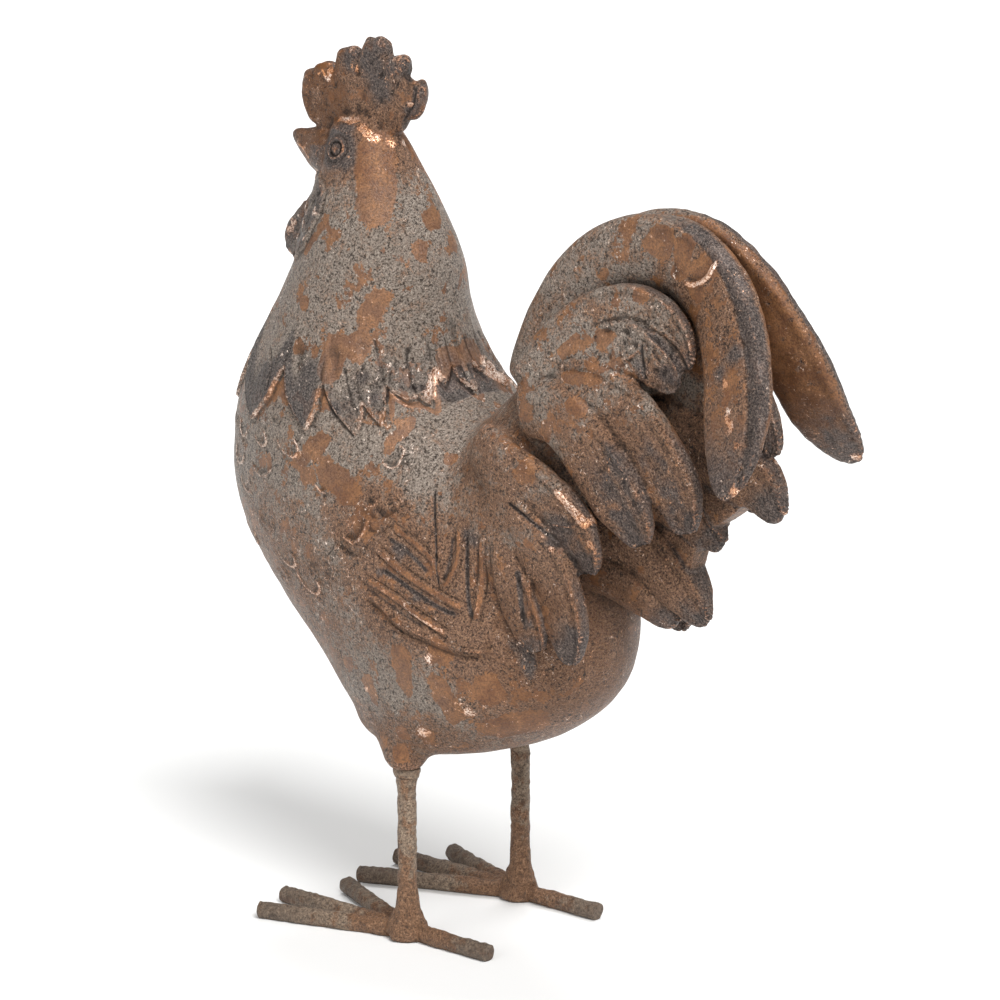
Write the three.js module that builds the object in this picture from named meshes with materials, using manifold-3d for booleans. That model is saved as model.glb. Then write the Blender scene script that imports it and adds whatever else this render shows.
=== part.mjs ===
// A rooster statue: one resin cast with comb, wattles, folded wings and arching tail,
// standing on two iron legs whose feet are round bars welded to an ankle.
// Millimetres, +Z up. The rooster faces -Y and its left side is +X.
// The origin is on the ground, at the middle of the whole statue's footprint.
import * as THREE from "three";
import { mergeVertices } from "three/addons/utils/BufferGeometryUtils.js";
import Module from "manifold-3d";

const wasm = await Module();
wasm.setup();

// The cast, from its thigh stumps to the comb, from breast to tail, and across the breast.
const castHeight = 365;
const castLength = 382;
const castWidth = 140;

// The legs and feet: round bar, with the feet's bars flattened where they stand.
const legHeight = 92.5;
const legSpacing = 87;
const legBarRadius = 5;
const legSocketDepth = 16;
const collarRadius = 7;
const collarHeight = 9;
const weldRadius = 10.5;
const weldEdge = 1;
const weldHeight = 24;
const toeBarRadius = 4.5;
const toeSoleDrop = 0.35;
const leftToeLengths = { middle: 88, outer: 84, inner: 81, back: 56 };
const rightToeLengths = { middle: 88, outer: 75, inner: 90, back: 54 };
const outerToeAngle = 19;
const innerToeAngle = 24;
const fitGap = 0.3;

// The stumps under the belly that the legs are set in. Upwards they widen and lean inwards.
const stumpRadius = 9;
const stumpEdgeRound = 1;
const stumpFlareRadius = 15;
const stumpFlareHeight = 9;
const stumpRootRadius = 18;
const stumpRootHeight = 20;
const stumpLeanInwards = 10;
const stumpLeanForwards = 8;

// The comb's plate, the eyes and the collar of neck feathers.
const combThickness = 10;
const combEdgeRound = 3.4;
const combInset = 0.8;
const eyePlace = { y: -70, z: 307 };
const eyeRadius = 4.6;
const eyeRelief = 1.4;
const hackleCount = 13;
const hackleHeight = 197;
const hackleRise = 6;
const hackleBand = 14;
const hackleFade = 34;
const hackleRelief = 1.6;
const hackleSink = 3;
const hackleDrop = 22;

// Faceting.
const bodySides = 26;
const bodyRings = 22;
const barSides = 12;
const beakSides = 14;
const rumpSides = 16;
const plumeSides = 8;
const plumeRings = 7;
const combPoints = 48;
const webPoints = 24;

// The figure is drawn at 365 high, 382 long and 140 wide, heights counted from the stumps' ends
// and lengths from the legs' line. These place a drawn size at its real one.
const drawn = { height: 365, length: 382, width: 140 };
const across = (x) => (x * castWidth) / drawn.width;
const along = (y) => (y * castLength) / drawn.length;
const up = (z) => (z * castHeight) / drawn.height;
const place = ([x, y, z]) => new THREE.Vector3(across(x), along(y), up(z));

// Level slices of the torso, neck and head: height, breast, back and half width as drawn.
const bodySlices = [
  { z: 6, front: -28, back: 26, half: 38 },
  { z: 10, front: -46, back: 42, half: 47 },
  { z: 16, front: -55, back: 58, half: 52 },
  { z: 24, front: -61, back: 72, half: 54.5 },
  { z: 35, front: -71, back: 87, half: 59 },
  { z: 51, front: -84, back: 99, half: 63 },
  { z: 70, front: -104, back: 105, half: 66.5 },
  { z: 90, front: -123, back: 105, half: 68.5 },
  { z: 110, front: -137, back: 98, half: 70 },
  { z: 131, front: -144, back: 85, half: 69.5 },
  { z: 151, front: -144, back: 66, half: 67.5 },
  { z: 171, front: -140, back: 38, half: 64 },
  { z: 190, front: -132, back: 10, half: 59 },
  { z: 210, front: -122, back: -4, half: 52 },
  { z: 230, front: -112.5, back: -9, half: 46 },
  { z: 250, front: -103, back: -11, half: 40.5 },
  { z: 270, front: -98, back: -19, half: 34.5 },
  { z: 286, front: -93, back: -28, half: 29 },
  { z: 300, front: -89, back: -36, half: 23 },
  { z: 312, front: -87, back: -43, half: 18 },
  { z: 320, front: -83, back: -50, half: 12.5 },
  { z: 324, front: -77, back: -58, half: 6 },
];

// Upright slices of the face and beak: distance, middle height, half height and half width.
const beakSlices = [
  { y: -70, z: 301, tall: 16, half: 16 },
  { y: -88, z: 300.5, tall: 14, half: 14 },
  { y: -100, z: 301.5, tall: 11.5, half: 9 },
  { y: -109, z: 304, tall: 7, half: 5.5 },
  { y: -115, z: 306.5, tall: 3.6, half: 3 },
  { y: -117.5, z: 307.3, tall: 1.2, half: 1.2 },
];

// The comb's outline in side view, lobe after lobe from the beak to the nape.
const combOutline = [
  [-96, 311], [-105, 317], [-110.5, 327], [-110, 336], [-105, 343], [-97, 348], [-89, 347.5],
  [-86, 346], [-84.5, 354], [-79, 358.5], [-72, 358], [-68, 356.5], [-64.5, 363], [-58, 365],
  [-51, 363.5], [-47, 356.5], [-41, 358.5], [-36.5, 356], [-35, 346.5], [-30, 347.5],
  [-25, 345], [-24, 336], [-28, 328], [-38, 320], [-48, 314], [-72, 309],
];

// Feathers: a centreline from root to tip, half the broadest width and half the thickness. The root
// is a share of the broadest width, reached at a share of the length called swell.
const mainSickle = {
  line: [
    [12, 58, 205], [12, 74, 240], [11, 95, 266], [9, 118, 279], [8, 137, 282], [8, 156, 280],
    [10, 176, 267], [15, 190, 249], [23, 200, 229], [32, 207, 206], [43, 213, 188], [50, 217, 178],
  ],
  half: 21, thick: 13, tipThick: 5, root: 0.6, swell: 0.8, rings: 13,
};
const sideFeathers = [
  { line: [[36, 80, 214], [33, 97, 236], [28, 116, 251], [24, 138, 256], [22, 158, 248], [22, 169, 229]],
    half: 12.5, thick: 8, tipThick: 4, root: 1, swell: 0.6 },
  { line: [[32, 92, 216], [31, 112, 230], [28, 134, 237], [26, 154, 230], [25, 165, 219]],
    half: 14.5, thick: 8, tipThick: 5, root: 0.9, swell: 0.6 },
  { line: [[33, 92, 206], [34, 112, 214], [32, 136, 205], [30, 155, 186], [28, 167, 168], [28, 173, 148]],
    half: 17, thick: 8, tipThick: 5, root: 1, swell: 0.65 },
  { line: [[37, 76, 200], [40, 99, 201], [39, 117, 188], [37, 131, 170], [34, 142, 153], [32, 148, 138]],
    half: 17.5, thick: 7, tipThick: 5, root: 0.9, swell: 0.65 },
  { line: [[43, 50, 180], [48, 70, 171], [46, 90, 160], [43, 106, 147], [40, 116, 132], [39, 118, 120]],
    half: 16.5, thick: 7, tipThick: 5, root: 0.8, swell: 0.65 },
  { line: [[45, 60, 156], [48, 83, 143], [45, 98, 124], [43, 106, 104], [42, 109, 87], [42, 108, 73]],
    half: 13.5, thick: 7, tipThick: 5, root: 0.8, swell: 0.65 },
  { line: [[48, 56, 140], [49, 69, 124], [48, 79, 105], [47, 84, 89], [45, 88, 77]],
    half: 10, thick: 6, tipThick: 4, root: 0.8, swell: 0.65 },
];
const middleFeathers = [
  { line: [[0, 100, 230], [0, 150, 240], [0, 184, 222], [0, 201, 200], [0, 203, 187]],
    half: 12, thick: 8, tipThick: 5, root: 1.2, swell: 0.6 },
  { line: [[0, 90, 178], [0, 130, 190], [0, 168, 186], [0, 194, 174], [0, 209, 156]],
    half: 17, thick: 15, tipThick: 8, root: 1.3, swell: 0.6 },
  { line: [[0, 80, 150], [0, 120, 160], [0, 152, 154], [0, 173, 136]],
    half: 14, thick: 18, tipThick: 8, root: 1.3, swell: 0.5 },
  { line: [[0, 80, 130], [0, 118, 134], [0, 143, 118], [0, 163, 95]],
    half: 15, thick: 22, tipThick: 8, root: 1.5, swell: 0.5 },
  { line: [[0, 70, 116], [0, 104, 116], [0, 128, 106], [0, 143, 91]],
    half: 14, thick: 26, tipThick: 9, root: 1.4, swell: 0.5 },
];
// The rump and the tail's thick root, swept along the middle plane.
const tailRoot = {
  line: [[0, 34, 112], [0, 62, 158], [0, 88, 196], [0, 114, 218], [0, 140, 226]],
  half: [52, 46, 36, 25, 14], thick: [58, 51, 40, 27, 14],
};
// The web between the two halves of the tail, in the middle plane, and half its thickness.
const tailWeb = [
  [58, 140], [66, 212], [92, 246], [124, 262], [156, 258], [180, 236], [192, 202], [192, 166],
  [164, 142], [148, 112], [100, 104],
];
const webHalf = 7;

// The wattle hangs beside the throat, and its twin is on the other side.
const wattleShape = {
  line: [[6, -90, 292], [7, -92, 281], [8, -101, 268], [8, -111, 257], [7, -117, 247]],
  half: 9, thick: 5, tipThick: 4.5, root: 0.7, swell: 0.6,
};

// How every feather is shaped: its rings crowd towards the tip, it thins there, and its section
// is a little squarer than an ellipse.
const tipReach = 0.996;
const tipCrowding = 1.25;
const tipTaper = 2.2;
const sectionPower = 0.75;

// The folded wing: a broad plate and its long feathers, drawn on the flank in side view. Each is
// sunk under the flank, narrows to the given share at its root and has a lower shoulder each side.
const laidSink = 4;
const laidRootShare = 0.45;
const laidSwell = 1.4;
const laidTipTaper = 1.9;
const laidTipReach = 0.99;
const laidShoulder = 0.35;
const wingPlate = { line: [[-24, 124], [5, 116], [30, 106], [52, 92], [70, 76]], half: 25, relief: 2.4 };
const wingFeathers = [
  { line: [[0, 87], [30, 81], [50, 77], [70, 74]], half: 4.5, relief: 3.6 },
  { line: [[-3, 102], [28, 96], [54, 86], [70, 77]], half: 5, relief: 4.4 },
  { line: [[2, 119], [29, 110], [50, 99], [66, 84]], half: 5, relief: 4.8 },
  { line: [[14, 132], [38, 118], [54, 104], [66, 88]], half: 5, relief: 5 },
  { line: [[50, 140], [52, 120], [58, 102], [66, 84]], half: 5, relief: 5.4 },
];

// A closed skin over rings of points, all with the same count, ended by two fans.
function skin(rings) {
  const sides = rings[0].length;
  const points = rings.flat();
  const faces = [];
  for (let i = 0; i < rings.length - 1; i++) {
    for (let j = 0; j < sides; j++) {
      const a = i * sides + j;
      const b = i * sides + ((j + 1) % sides);
      faces.push([a, b, b + sides], [a, b + sides, a + sides]);
    }
  }
  [0, rings.length - 1].forEach((i) => {
    const middle = rings[i].reduce((sum, p) => sum.add(p), new THREE.Vector3()).divideScalar(sides);
    const hub = points.push(middle) - 1;
    for (let j = 0; j < sides; j++) {
      const a = i * sides + j;
      const b = i * sides + ((j + 1) % sides);
      faces.push(i === 0 ? [hub, b, a] : [hub, a, b]);
    }
  });
  const volume = faces.reduce((sum, [a, b, c]) => {
    return sum + points[a].dot(new THREE.Vector3().crossVectors(points[b], points[c]));
  }, 0);
  if (volume < 0) faces.forEach((f) => f.reverse());
  return new THREE.BufferGeometry().setFromPoints(points).setIndex(faces.flat());
}

// A closed geometry as a solid that can be joined and cut.
function solid(geometry) {
  const bare = geometry.clone();
  bare.deleteAttribute("normal");
  bare.deleteAttribute("uv");
  const merged = mergeVertices(bare, 1e-4);
  const index = merged.index.array;
  const kept = [];
  for (let i = 0; i < index.length; i += 3) {
    const corners = index.slice(i, i + 3);
    if (new Set(corners).size === 3) kept.push(...corners);
  }
  return new wasm.Manifold(
    new wasm.Mesh({
      numProp: 3,
      vertProperties: new Float32Array(merged.attributes.position.array),
      triVerts: new Uint32Array(kept),
    }),
  );
}

// A solid back as a geometry.
function geometryOf(body) {
  const mesh = body.getMesh();
  const geometry = new THREE.BufferGeometry();
  geometry.setAttribute("position", new THREE.BufferAttribute(new Float32Array(mesh.vertProperties), 3));
  geometry.setIndex(new THREE.BufferAttribute(new Uint32Array(mesh.triVerts), 1));
  geometry.computeVertexNormals();
  return geometry;
}

const fuse = (geometries) => geometries.map(solid).reduce((sum, part) => sum.add(part));

// The same form on the rooster's other side.
function mirrored(geometry) {
  const twin = geometry.clone().applyMatrix4(new THREE.Matrix4().makeScale(-1, 1, 1));
  const index = twin.index.array;
  for (let i = 0; i < index.length; i += 3) [index[i], index[i + 1]] = [index[i + 1], index[i]];
  return twin;
}

// Smooth curves through the slices, read as the breast, back, height and half width at a height.
const sliceEdges = new THREE.CatmullRomCurve3(
  bodySlices.map((s) => new THREE.Vector3(along(s.front), along(s.back), up(s.z))),
);
const sliceWidths = new THREE.CatmullRomCurve3(
  bodySlices.map((s) => new THREE.Vector3(across(s.half), 0, up(s.z))),
);
sliceEdges.curveType = sliceWidths.curveType = "catmullrom";

function sliceAt(t) {
  const edges = sliceEdges.getPoint(t);
  return {
    middle: (edges.x + edges.y) / 2,
    reach: (edges.y - edges.x) / 2,
    half: sliceWidths.getPoint(t).x,
    z: edges.z,
  };
}

// The slice at a real height, found by halving.
function sliceAtHeight(z) {
  let low = 0;
  let high = 1;
  for (let i = 0; i < 24; i++) {
    const mid = (low + high) / 2;
    if (sliceAt(mid).z < z) low = mid;
    else high = mid;
  }
  return sliceAt((low + high) / 2);
}

// A point on the torso at an angle round it, 0 at the rooster's left and 90 degrees at its back.
function onBody(slice, angle, lift = 0) {
  const round = new THREE.Vector3(Math.cos(angle) / slice.half, Math.sin(angle) / slice.reach, 0);
  const out = round.normalize().multiplyScalar(lift);
  return new THREE.Vector3(
    slice.half * Math.cos(angle) + out.x,
    slice.middle + slice.reach * Math.sin(angle) + out.y,
    slice.z,
  );
}

// How far out the left flank is at a point drawn in side view, short of the flank's very ends.
const flankEnd = 0.98;
function flank(y, z) {
  const slice = sliceAtHeight(z);
  const share = Math.min(flankEnd, Math.abs(y - slice.middle) / slice.reach);
  return slice.half * Math.sqrt(1 - share * share);
}

function torso() {
  const rings = [];
  for (let i = 0; i < bodyRings; i++) {
    const slice = sliceAt(i / (bodyRings - 1));
    rings.push(
      Array.from({ length: bodySides }, (_, j) => onBody(slice, (2 * Math.PI * j) / bodySides)),
    );
  }
  return skin(rings);
}

function beak() {
  return skin(
    beakSlices.map((s) =>
      Array.from({ length: beakSides }, (_, j) => {
        const angle = (2 * Math.PI * j) / beakSides;
        return place([s.half * Math.cos(angle), s.y, s.z + s.tall * Math.sin(angle)]);
      }),
    ),
  );
}

// A smooth closed outline through points drawn in side view.
function sideOutline(corners, points) {
  const round = new THREE.CatmullRomCurve3(
    corners.map(([y, z]) => new THREE.Vector3(along(y), up(z), 0)), true,
  );
  const edge = round.getSpacedPoints(points).slice(0, -1);
  return new THREE.Shape(edge.map((p) => new THREE.Vector2(p.x, p.y)));
}

// A plate drawn flat, set upright in the middle plane with half its depth to each side.
function standUp(plate, depth) {
  return plate.translate(0, 0, -depth / 2).applyMatrix4(new THREE.Matrix4().makeBasis(
    new THREE.Vector3(0, 1, 0), new THREE.Vector3(0, 0, 1), new THREE.Vector3(1, 0, 0),
  ));
}

function comb() {
  const flat = combThickness - 2 * combEdgeRound;
  const plate = new THREE.ExtrudeGeometry(sideOutline(combOutline, combPoints), {
    depth: flat,
    bevelThickness: combEdgeRound,
    bevelSize: combEdgeRound,
    bevelOffset: -combEdgeRound - combInset,
    bevelSegments: 2,
  });
  return standUp(plate, flat);
}

function web() {
  const depth = 2 * across(webHalf);
  const plate = new THREE.ExtrudeGeometry(sideOutline(tailWeb, webPoints), { depth, bevelEnabled: false });
  return standUp(plate, depth);
}

// One feather swept along its centreline. Its share of the full width swells from the root
// and rounds off to the tip.
function feather({ line, half, thick, tipThick, root, swell, rings = plumeRings }) {
  const path = new THREE.CatmullRomCurve3(line.map(place));
  const made = [];
  for (let i = 0; i < rings; i++) {
    const s = tipReach * (1 - (1 - i / (rings - 1)) ** tipCrowding);
    const width = s < swell
      ? root + (1 - root) * Math.sin((Math.PI / 2) * (s / swell))
      : Math.sqrt(1 - ((s - swell) / (1 - swell)) ** 2);
    const depth = (thick + (tipThick - thick) * s) * Math.min(1, tipTaper * Math.sqrt(1 - s));
    const heading = path.getTangentAt(s);
    const edge = new THREE.Vector3().crossVectors(heading, new THREE.Vector3(1, 0, 0)).normalize();
    const flat = new THREE.Vector3().crossVectors(edge, heading).normalize();
    const middle = path.getPointAt(s);
    made.push(
      Array.from({ length: plumeSides }, (_, j) => {
        const angle = (2 * Math.PI * j) / plumeSides;
        const boxy = (t) => Math.sign(t) * Math.abs(t) ** sectionPower;
        return middle.clone()
          .addScaledVector(edge, half * width * boxy(Math.cos(angle)))
          .addScaledVector(flat, depth * boxy(Math.sin(angle)));
      }),
    );
  }
  return skin(made);
}

function rump() {
  const path = new THREE.CatmullRomCurve3(tailRoot.line.map(place));
  return skin(
    tailRoot.line.map((_, i) => {
      const t = i / (tailRoot.line.length - 1);
      const heading = path.getTangent(t);
      const edge = new THREE.Vector3().crossVectors(heading, new THREE.Vector3(1, 0, 0)).normalize();
      return Array.from({ length: rumpSides }, (_, j) => {
        const angle = (2 * Math.PI * j) / rumpSides;
        return path.getPoint(t)
          .addScaledVector(edge, tailRoot.half[i] * Math.cos(angle))
          .add(new THREE.Vector3(across(tailRoot.thick[i]) * Math.sin(angle), 0, 0));
      });
    }),
  );
}

// A feather laid on the flank: a low ridge whose underside is sunk into the body.
function laidFeather({ line, half, relief }) {
  const path = new THREE.CatmullRomCurve3(line.map(([y, z]) => new THREE.Vector3(0, along(y), up(z))));
  const rings = [];
  for (let i = 0; i < plumeRings; i++) {
    const s = (laidTipReach * i) / (plumeRings - 1);
    const swelling = Math.min(1, laidRootShare + laidSwell * s);
    const width = half * swelling * Math.min(1, laidTipTaper * Math.sqrt(1 - s));
    const heading = path.getTangentAt(s);
    const edge = new THREE.Vector3(0, -heading.z, heading.y);
    const middle = path.getPointAt(s);
    rings.push(
      [[-1, -laidSink], [-1, laidShoulder * relief], [0, relief], [1, laidShoulder * relief], [1, -laidSink]]
        .map(([side, lift]) => {
          const p = middle.clone().addScaledVector(edge, side * width);
          return p.setX(flank(p.y, p.z) + lift);
        }),
    );
  }
  return skin(rings);
}

// The collar of pointed neck feathers: a raised band with a zigzag lower edge.
function hackles() {
  const steps = hackleCount * 2;
  const edgeHeight = (angle) => up(hackleHeight) + up(hackleRise) * Math.sin(angle) ** 2;
  const ring = (rise, lift, zigzag) =>
    Array.from({ length: steps }, (_, j) => {
      const angle = (2 * Math.PI * j) / steps;
      const z = edgeHeight(angle) + up(rise) - (zigzag ? hackleDrop * (j % 2) : 0);
      return onBody(sliceAtHeight(z), angle, lift);
    });
  return skin([
    ring(0, -hackleSink, true), ring(0, hackleRelief, true), ring(hackleBand, hackleRelief, false),
    ring(hackleFade, -hackleSink / 2, false),
  ]);
}

// The eye: a low lens on the side of the head.
function eye() {
  const lens = new THREE.SphereGeometry(eyeRadius, 8, 5);
  const middle = { y: along(eyePlace.y), z: up(eyePlace.z) };
  lens.scale(eyeRelief / eyeRadius, 1, 1);
  return lens.translate(flank(middle.y, middle.z), middle.y, middle.z);
}

// The stump that holds the leg, widening upwards into the belly.
function stump() {
  const profile = [
    [stumpRadius - stumpEdgeRound, 0], [stumpRadius, stumpEdgeRound],
    [stumpFlareRadius, stumpFlareHeight], [stumpRootRadius, stumpRootHeight],
  ];
  return skin(
    profile.map(([radius, z]) => {
      const lean = z / stumpRootHeight;
      return Array.from({ length: barSides }, (_, j) => {
        const angle = (2 * Math.PI * j) / barSides;
        return new THREE.Vector3(
          legSpacing / 2 - stumpLeanInwards * lean + radius * Math.cos(angle),
          radius * Math.sin(angle) - stumpLeanForwards * lean,
          z,
        );
      });
    }),
  );
}

// The leg's own form, also used with the fit gap added to cut its socket and the toes' ends.
function legProfile(gap = 0) {
  const collarTop = legHeight - fitGap + gap;
  const end = legHeight + legSocketDepth + gap;
  return [
    [-gap, -gap], [weldRadius - weldEdge, -gap], [weldRadius, weldEdge], [weldRadius - weldEdge, weldHeight / 3],
    [(weldRadius + legBarRadius) / 2, (weldHeight * 2) / 3], [legBarRadius + weldEdge / 2, weldHeight],
    [legBarRadius, (weldHeight * 4) / 3], [legBarRadius, legHeight - collarHeight],
    [collarRadius, legHeight - collarHeight / 3], [collarRadius, collarTop],
    [legBarRadius, collarTop], [legBarRadius, end], [-gap, end],
  ].map(([r, z]) => new THREE.Vector2(r + gap, z));
}
const leg = (gap = 0) => new THREE.LatheGeometry(legProfile(gap), barSides).rotateX(Math.PI / 2);

// A bar lying on the ground from the ankle outwards, with a narrow flat under it to stand on.
function bar(length, grow = 0) {
  const section = new THREE.Shape();
  const radius = toeBarRadius + grow;
  const sole = toeSoleDrop - toeBarRadius - grow;
  const start = Math.asin(sole / radius);
  for (let i = 0; i <= barSides; i++) {
    const angle = start + ((Math.PI - 2 * start) * i) / barSides;
    section[i ? "lineTo" : "moveTo"](radius * Math.cos(angle), radius * Math.sin(angle));
  }
  const made = new THREE.ExtrudeGeometry(section, { depth: length, bevelEnabled: false });
  return made.rotateX(Math.PI / 2).translate(0, 0, toeBarRadius - toeSoleDrop);
}

// A foot's bars, each cut back from the ankle and from the bars laid before it.
function footBars(lengths) {
  const lay = (angle, length, grow) => bar(length, grow).rotateZ(THREE.MathUtils.degToRad(angle));
  const ankle = solid(leg(fitGap));
  const plans = [
    { name: "middle_toe", angle: 0, length: lengths.middle },
    { name: "outer_toe", angle: outerToeAngle, length: lengths.outer },
    { name: "inner_toe", angle: -innerToeAngle, length: lengths.inner },
    { name: "back_toe", angle: 180, length: lengths.back },
  ];
  const front = solid(lay(0, lengths.middle, fitGap));
  return plans.map(({ name, angle, length }) => {
    let made = solid(lay(angle, length, 0)).subtract(ankle);
    if (name === "outer_toe" || name === "inner_toe") made = made.subtract(front);
    return { name, geometry: geometryOf(made) };
  });
}

// The whole cast, with a socket under each stump.
function cast() {
  const oneSide = [
    feather(mainSickle), ...sideFeathers.map(feather), feather(wattleShape), eye(), stump(),
    laidFeather(wingPlate), ...wingFeathers.map(laidFeather),
  ];
  const whole = fuse([
    torso(), beak(), comb(), rump(), web(), hackles(), ...middleFeathers.map(feather),
    ...oneSide, ...oneSide.map(mirrored),
  ]);
  const socket = solid(leg(fitGap).translate(legSpacing / 2, 0, -legHeight));
  const twin = solid(leg(fitGap).translate(-legSpacing / 2, 0, -legHeight));
  return geometryOf(whole.subtract(socket).subtract(twin));
}

const resin = new THREE.MeshStandardMaterial({ color: 0x7c6556, roughness: 0.55, metalness: 0.25 });
const iron = new THREE.MeshStandardMaterial({ color: 0x6f5848, roughness: 0.75, metalness: 0.4 });

const statue = new THREE.Group();
const body = new THREE.Mesh(cast(), resin);
body.name = "rooster_cast";
body.position.z = legHeight;
statue.add(body);

for (const side of [1, -1]) {
  const limb = new THREE.Group();
  limb.position.x = (side * legSpacing) / 2;
  const prefix = side > 0 ? "left" : "right";
  const rod = new THREE.Mesh(leg(), iron);
  rod.name = `${prefix}_leg`;
  limb.add(rod);
  for (const { name, geometry } of footBars(side > 0 ? leftToeLengths : rightToeLengths)) {
    const toe = new THREE.Mesh(side > 0 ? geometry : mirrored(geometry), iron);
    toe.name = `${prefix}_${name}`;
    limb.add(toe);
  }
  statue.add(limb);
}

// The origin goes to the middle of the footprint.
const extent = new THREE.Box3().setFromObject(statue);
const footprint = extent.getCenter(new THREE.Vector3());
statue.position.set(-footprint.x, -footprint.y, -extent.min.z);

const part = new THREE.Group();
part.add(statue);

export default part;
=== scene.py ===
"""A painted resin rooster on iron-bar legs, dressed around its CAD frame.

The cast is built from the same lofts and swept feathers as the solids, joined into one skin,
carved vertex by vertex, and thinned to a mesh that keeps the carving. The legs and toes are
rough bars with weld beads. Shapes are worked out in millimetres in the rooster's own frame
(x to its left, y to its back, z up from the ends of its thigh stumps) and placed in metres.
"""

from __future__ import annotations

import logging
import math
from dataclasses import dataclass, field
from enum import Enum

import bpy
import numpy as np
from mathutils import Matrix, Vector
from mathutils.kdtree import KDTree

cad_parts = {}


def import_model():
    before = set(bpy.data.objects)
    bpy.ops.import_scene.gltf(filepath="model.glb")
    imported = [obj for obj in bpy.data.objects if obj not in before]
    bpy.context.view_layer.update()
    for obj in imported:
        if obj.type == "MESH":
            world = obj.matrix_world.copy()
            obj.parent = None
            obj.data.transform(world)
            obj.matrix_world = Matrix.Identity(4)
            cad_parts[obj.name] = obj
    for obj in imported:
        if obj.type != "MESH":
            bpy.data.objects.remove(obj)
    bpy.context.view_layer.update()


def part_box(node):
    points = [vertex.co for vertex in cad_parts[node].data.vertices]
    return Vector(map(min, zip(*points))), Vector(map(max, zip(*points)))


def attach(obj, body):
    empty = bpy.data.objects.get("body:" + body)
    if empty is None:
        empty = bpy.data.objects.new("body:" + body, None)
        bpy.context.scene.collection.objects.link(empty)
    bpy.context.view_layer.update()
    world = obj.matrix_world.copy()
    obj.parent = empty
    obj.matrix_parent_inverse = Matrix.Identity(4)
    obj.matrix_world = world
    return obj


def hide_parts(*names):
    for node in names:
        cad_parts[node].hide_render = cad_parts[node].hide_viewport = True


LOG = logging.getLogger("rooster")
MM = 0.001
CURVE_STEPS = 24
HASH_STRIDES = np.array([374761393, 668265263, 2147483647])
HASH_SEED = 974634777
HASH_MIX = 1274126177
SIDEWAYS = np.array([1.0, 0.0, 0.0])

Points = np.ndarray
Rings = list[np.ndarray]
Socket = bpy.types.NodeSocket
Outline = tuple[tuple[float, float], ...]
Path3 = tuple[tuple[float, float, float], ...]
Tones = tuple[str, str, str]


class Channel(Enum):
    """The surface states, the painted shade and the painted highlights that the carving hands to the paint,
    one mesh attribute each.
    """

    PATINA = "patina"
    COPPER_AND_HIGHLIGHT = "copper_and_highlight"
    BROWN = "brown"
    RUST = "rust"
    SHADE_AND_PUPIL = "shade_and_pupil"


# Small numeric helpers


def smoothstep(low: float, high: float, value: Points) -> Points:
    """Rise smoothly from 0 at low to 1 at high.

    Args:
        low: The value where the rise starts.
        high: The value where it ends.
        value: The values to map.

    Returns:
        The mapped values, from 0 to 1.
    """
    share = np.clip((value - low) / (high - low), 0.0, 1.0)
    return share * share * (3.0 - 2.0 * share)


def bump(distance: Points, width: float) -> Points:
    """Return a soft bell of height 1 around distance 0, width being its half width."""
    return np.exp(-((distance / width) ** 2))


def between(low: float, risen: float, falling: float, high: float, value: Points) -> Points:
    """Return 1 from risen to falling, with soft flanks down to 0 at low and high."""
    return smoothstep(low, risen, value) * (1 - smoothstep(falling, high, value))


def to_left(points: Points) -> Points:
    """Return points with x taken to the rooster's left side, its middle plane being x 0."""
    return np.column_stack([np.abs(points[:, 0]), points[:, 1:]])


def close_by(places: Points, corners: Points, margin: float) -> np.ndarray:
    """Find the places in the box round some corners.

    Args:
        places: The places, one row each.
        corners: The corners, with as many columns.
        margin: How far the box is widened on each side.

    Returns:
        The numbers of the places inside.
    """
    low, high = corners.min(axis=0) - margin, corners.max(axis=0) + margin
    return np.nonzero(np.all((places > low) & (places < high), axis=1))[0]


def ellipsoid(places: Points, middle: tuple[float, ...], radii: tuple[float, ...]) -> Points:
    """Return how far out each place lies from an ellipsoid's middle, its surface being 1."""
    return np.linalg.norm((places - np.array(middle)) / np.array(radii), axis=1)


def catmull(points: Points, count: int) -> Points:
    """Sample a smooth curve through points, evenly along its length.

    Args:
        points: The points the curve runs through, one row each.
        count: How many samples to return.

    Returns:
        The samples, one row each.
    """
    padded = np.vstack([2 * points[0] - points[1], points, 2 * points[-1] - points[-2]])
    dense = []
    for i in range(1, len(padded) - 2):
        before, start, end, after = padded[i - 1 : i + 3]
        t = np.linspace(0, 1, CURVE_STEPS, endpoint=i == len(padded) - 3)[:, None]
        dense.append(
            0.5
            * (
                2 * start
                + (end - before) * t
                + (2 * before - 5 * start + 4 * end - after) * t**2
                + (3 * start - before - 3 * end + after) * t**3
            )
        )
    curve = np.vstack(dense)
    run = np.concatenate([[0.0], np.cumsum(np.linalg.norm(np.diff(curve, axis=0), axis=1))])
    wanted = np.linspace(0, run[-1], count)
    return np.stack([np.interp(wanted, run, column) for column in curve.T], axis=1)


def lattice_noise(points: Points, size: float, seed: int) -> Points:
    """Smooth random values between -1 and 1 over space.

    Args:
        points: Where to read the noise, one row each, in millimetres.
        size: The noise's grain in millimetres.
        seed: Picks one of many different fields.

    Returns:
        One value for each point.
    """
    scaled = points / size
    cell = np.floor(scaled).astype(np.int64)
    inside = scaled - cell
    ease = inside * inside * (3 - 2 * inside)
    total = np.zeros(len(points))
    for corner in range(8):
        step = np.array([corner & 1, corner >> 1 & 1, corner >> 2 & 1])
        mixed = (cell + step) @ HASH_STRIDES + seed * HASH_SEED
        mixed = (mixed ^ (mixed >> 13)) * HASH_MIX
        value = ((mixed ^ (mixed >> 16)) & 0xFFFF) / 32767.5 - 1.0
        weight = np.prod(np.where(step == 1, ease, 1 - ease), axis=1)
        total += weight * value
    return total


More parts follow.
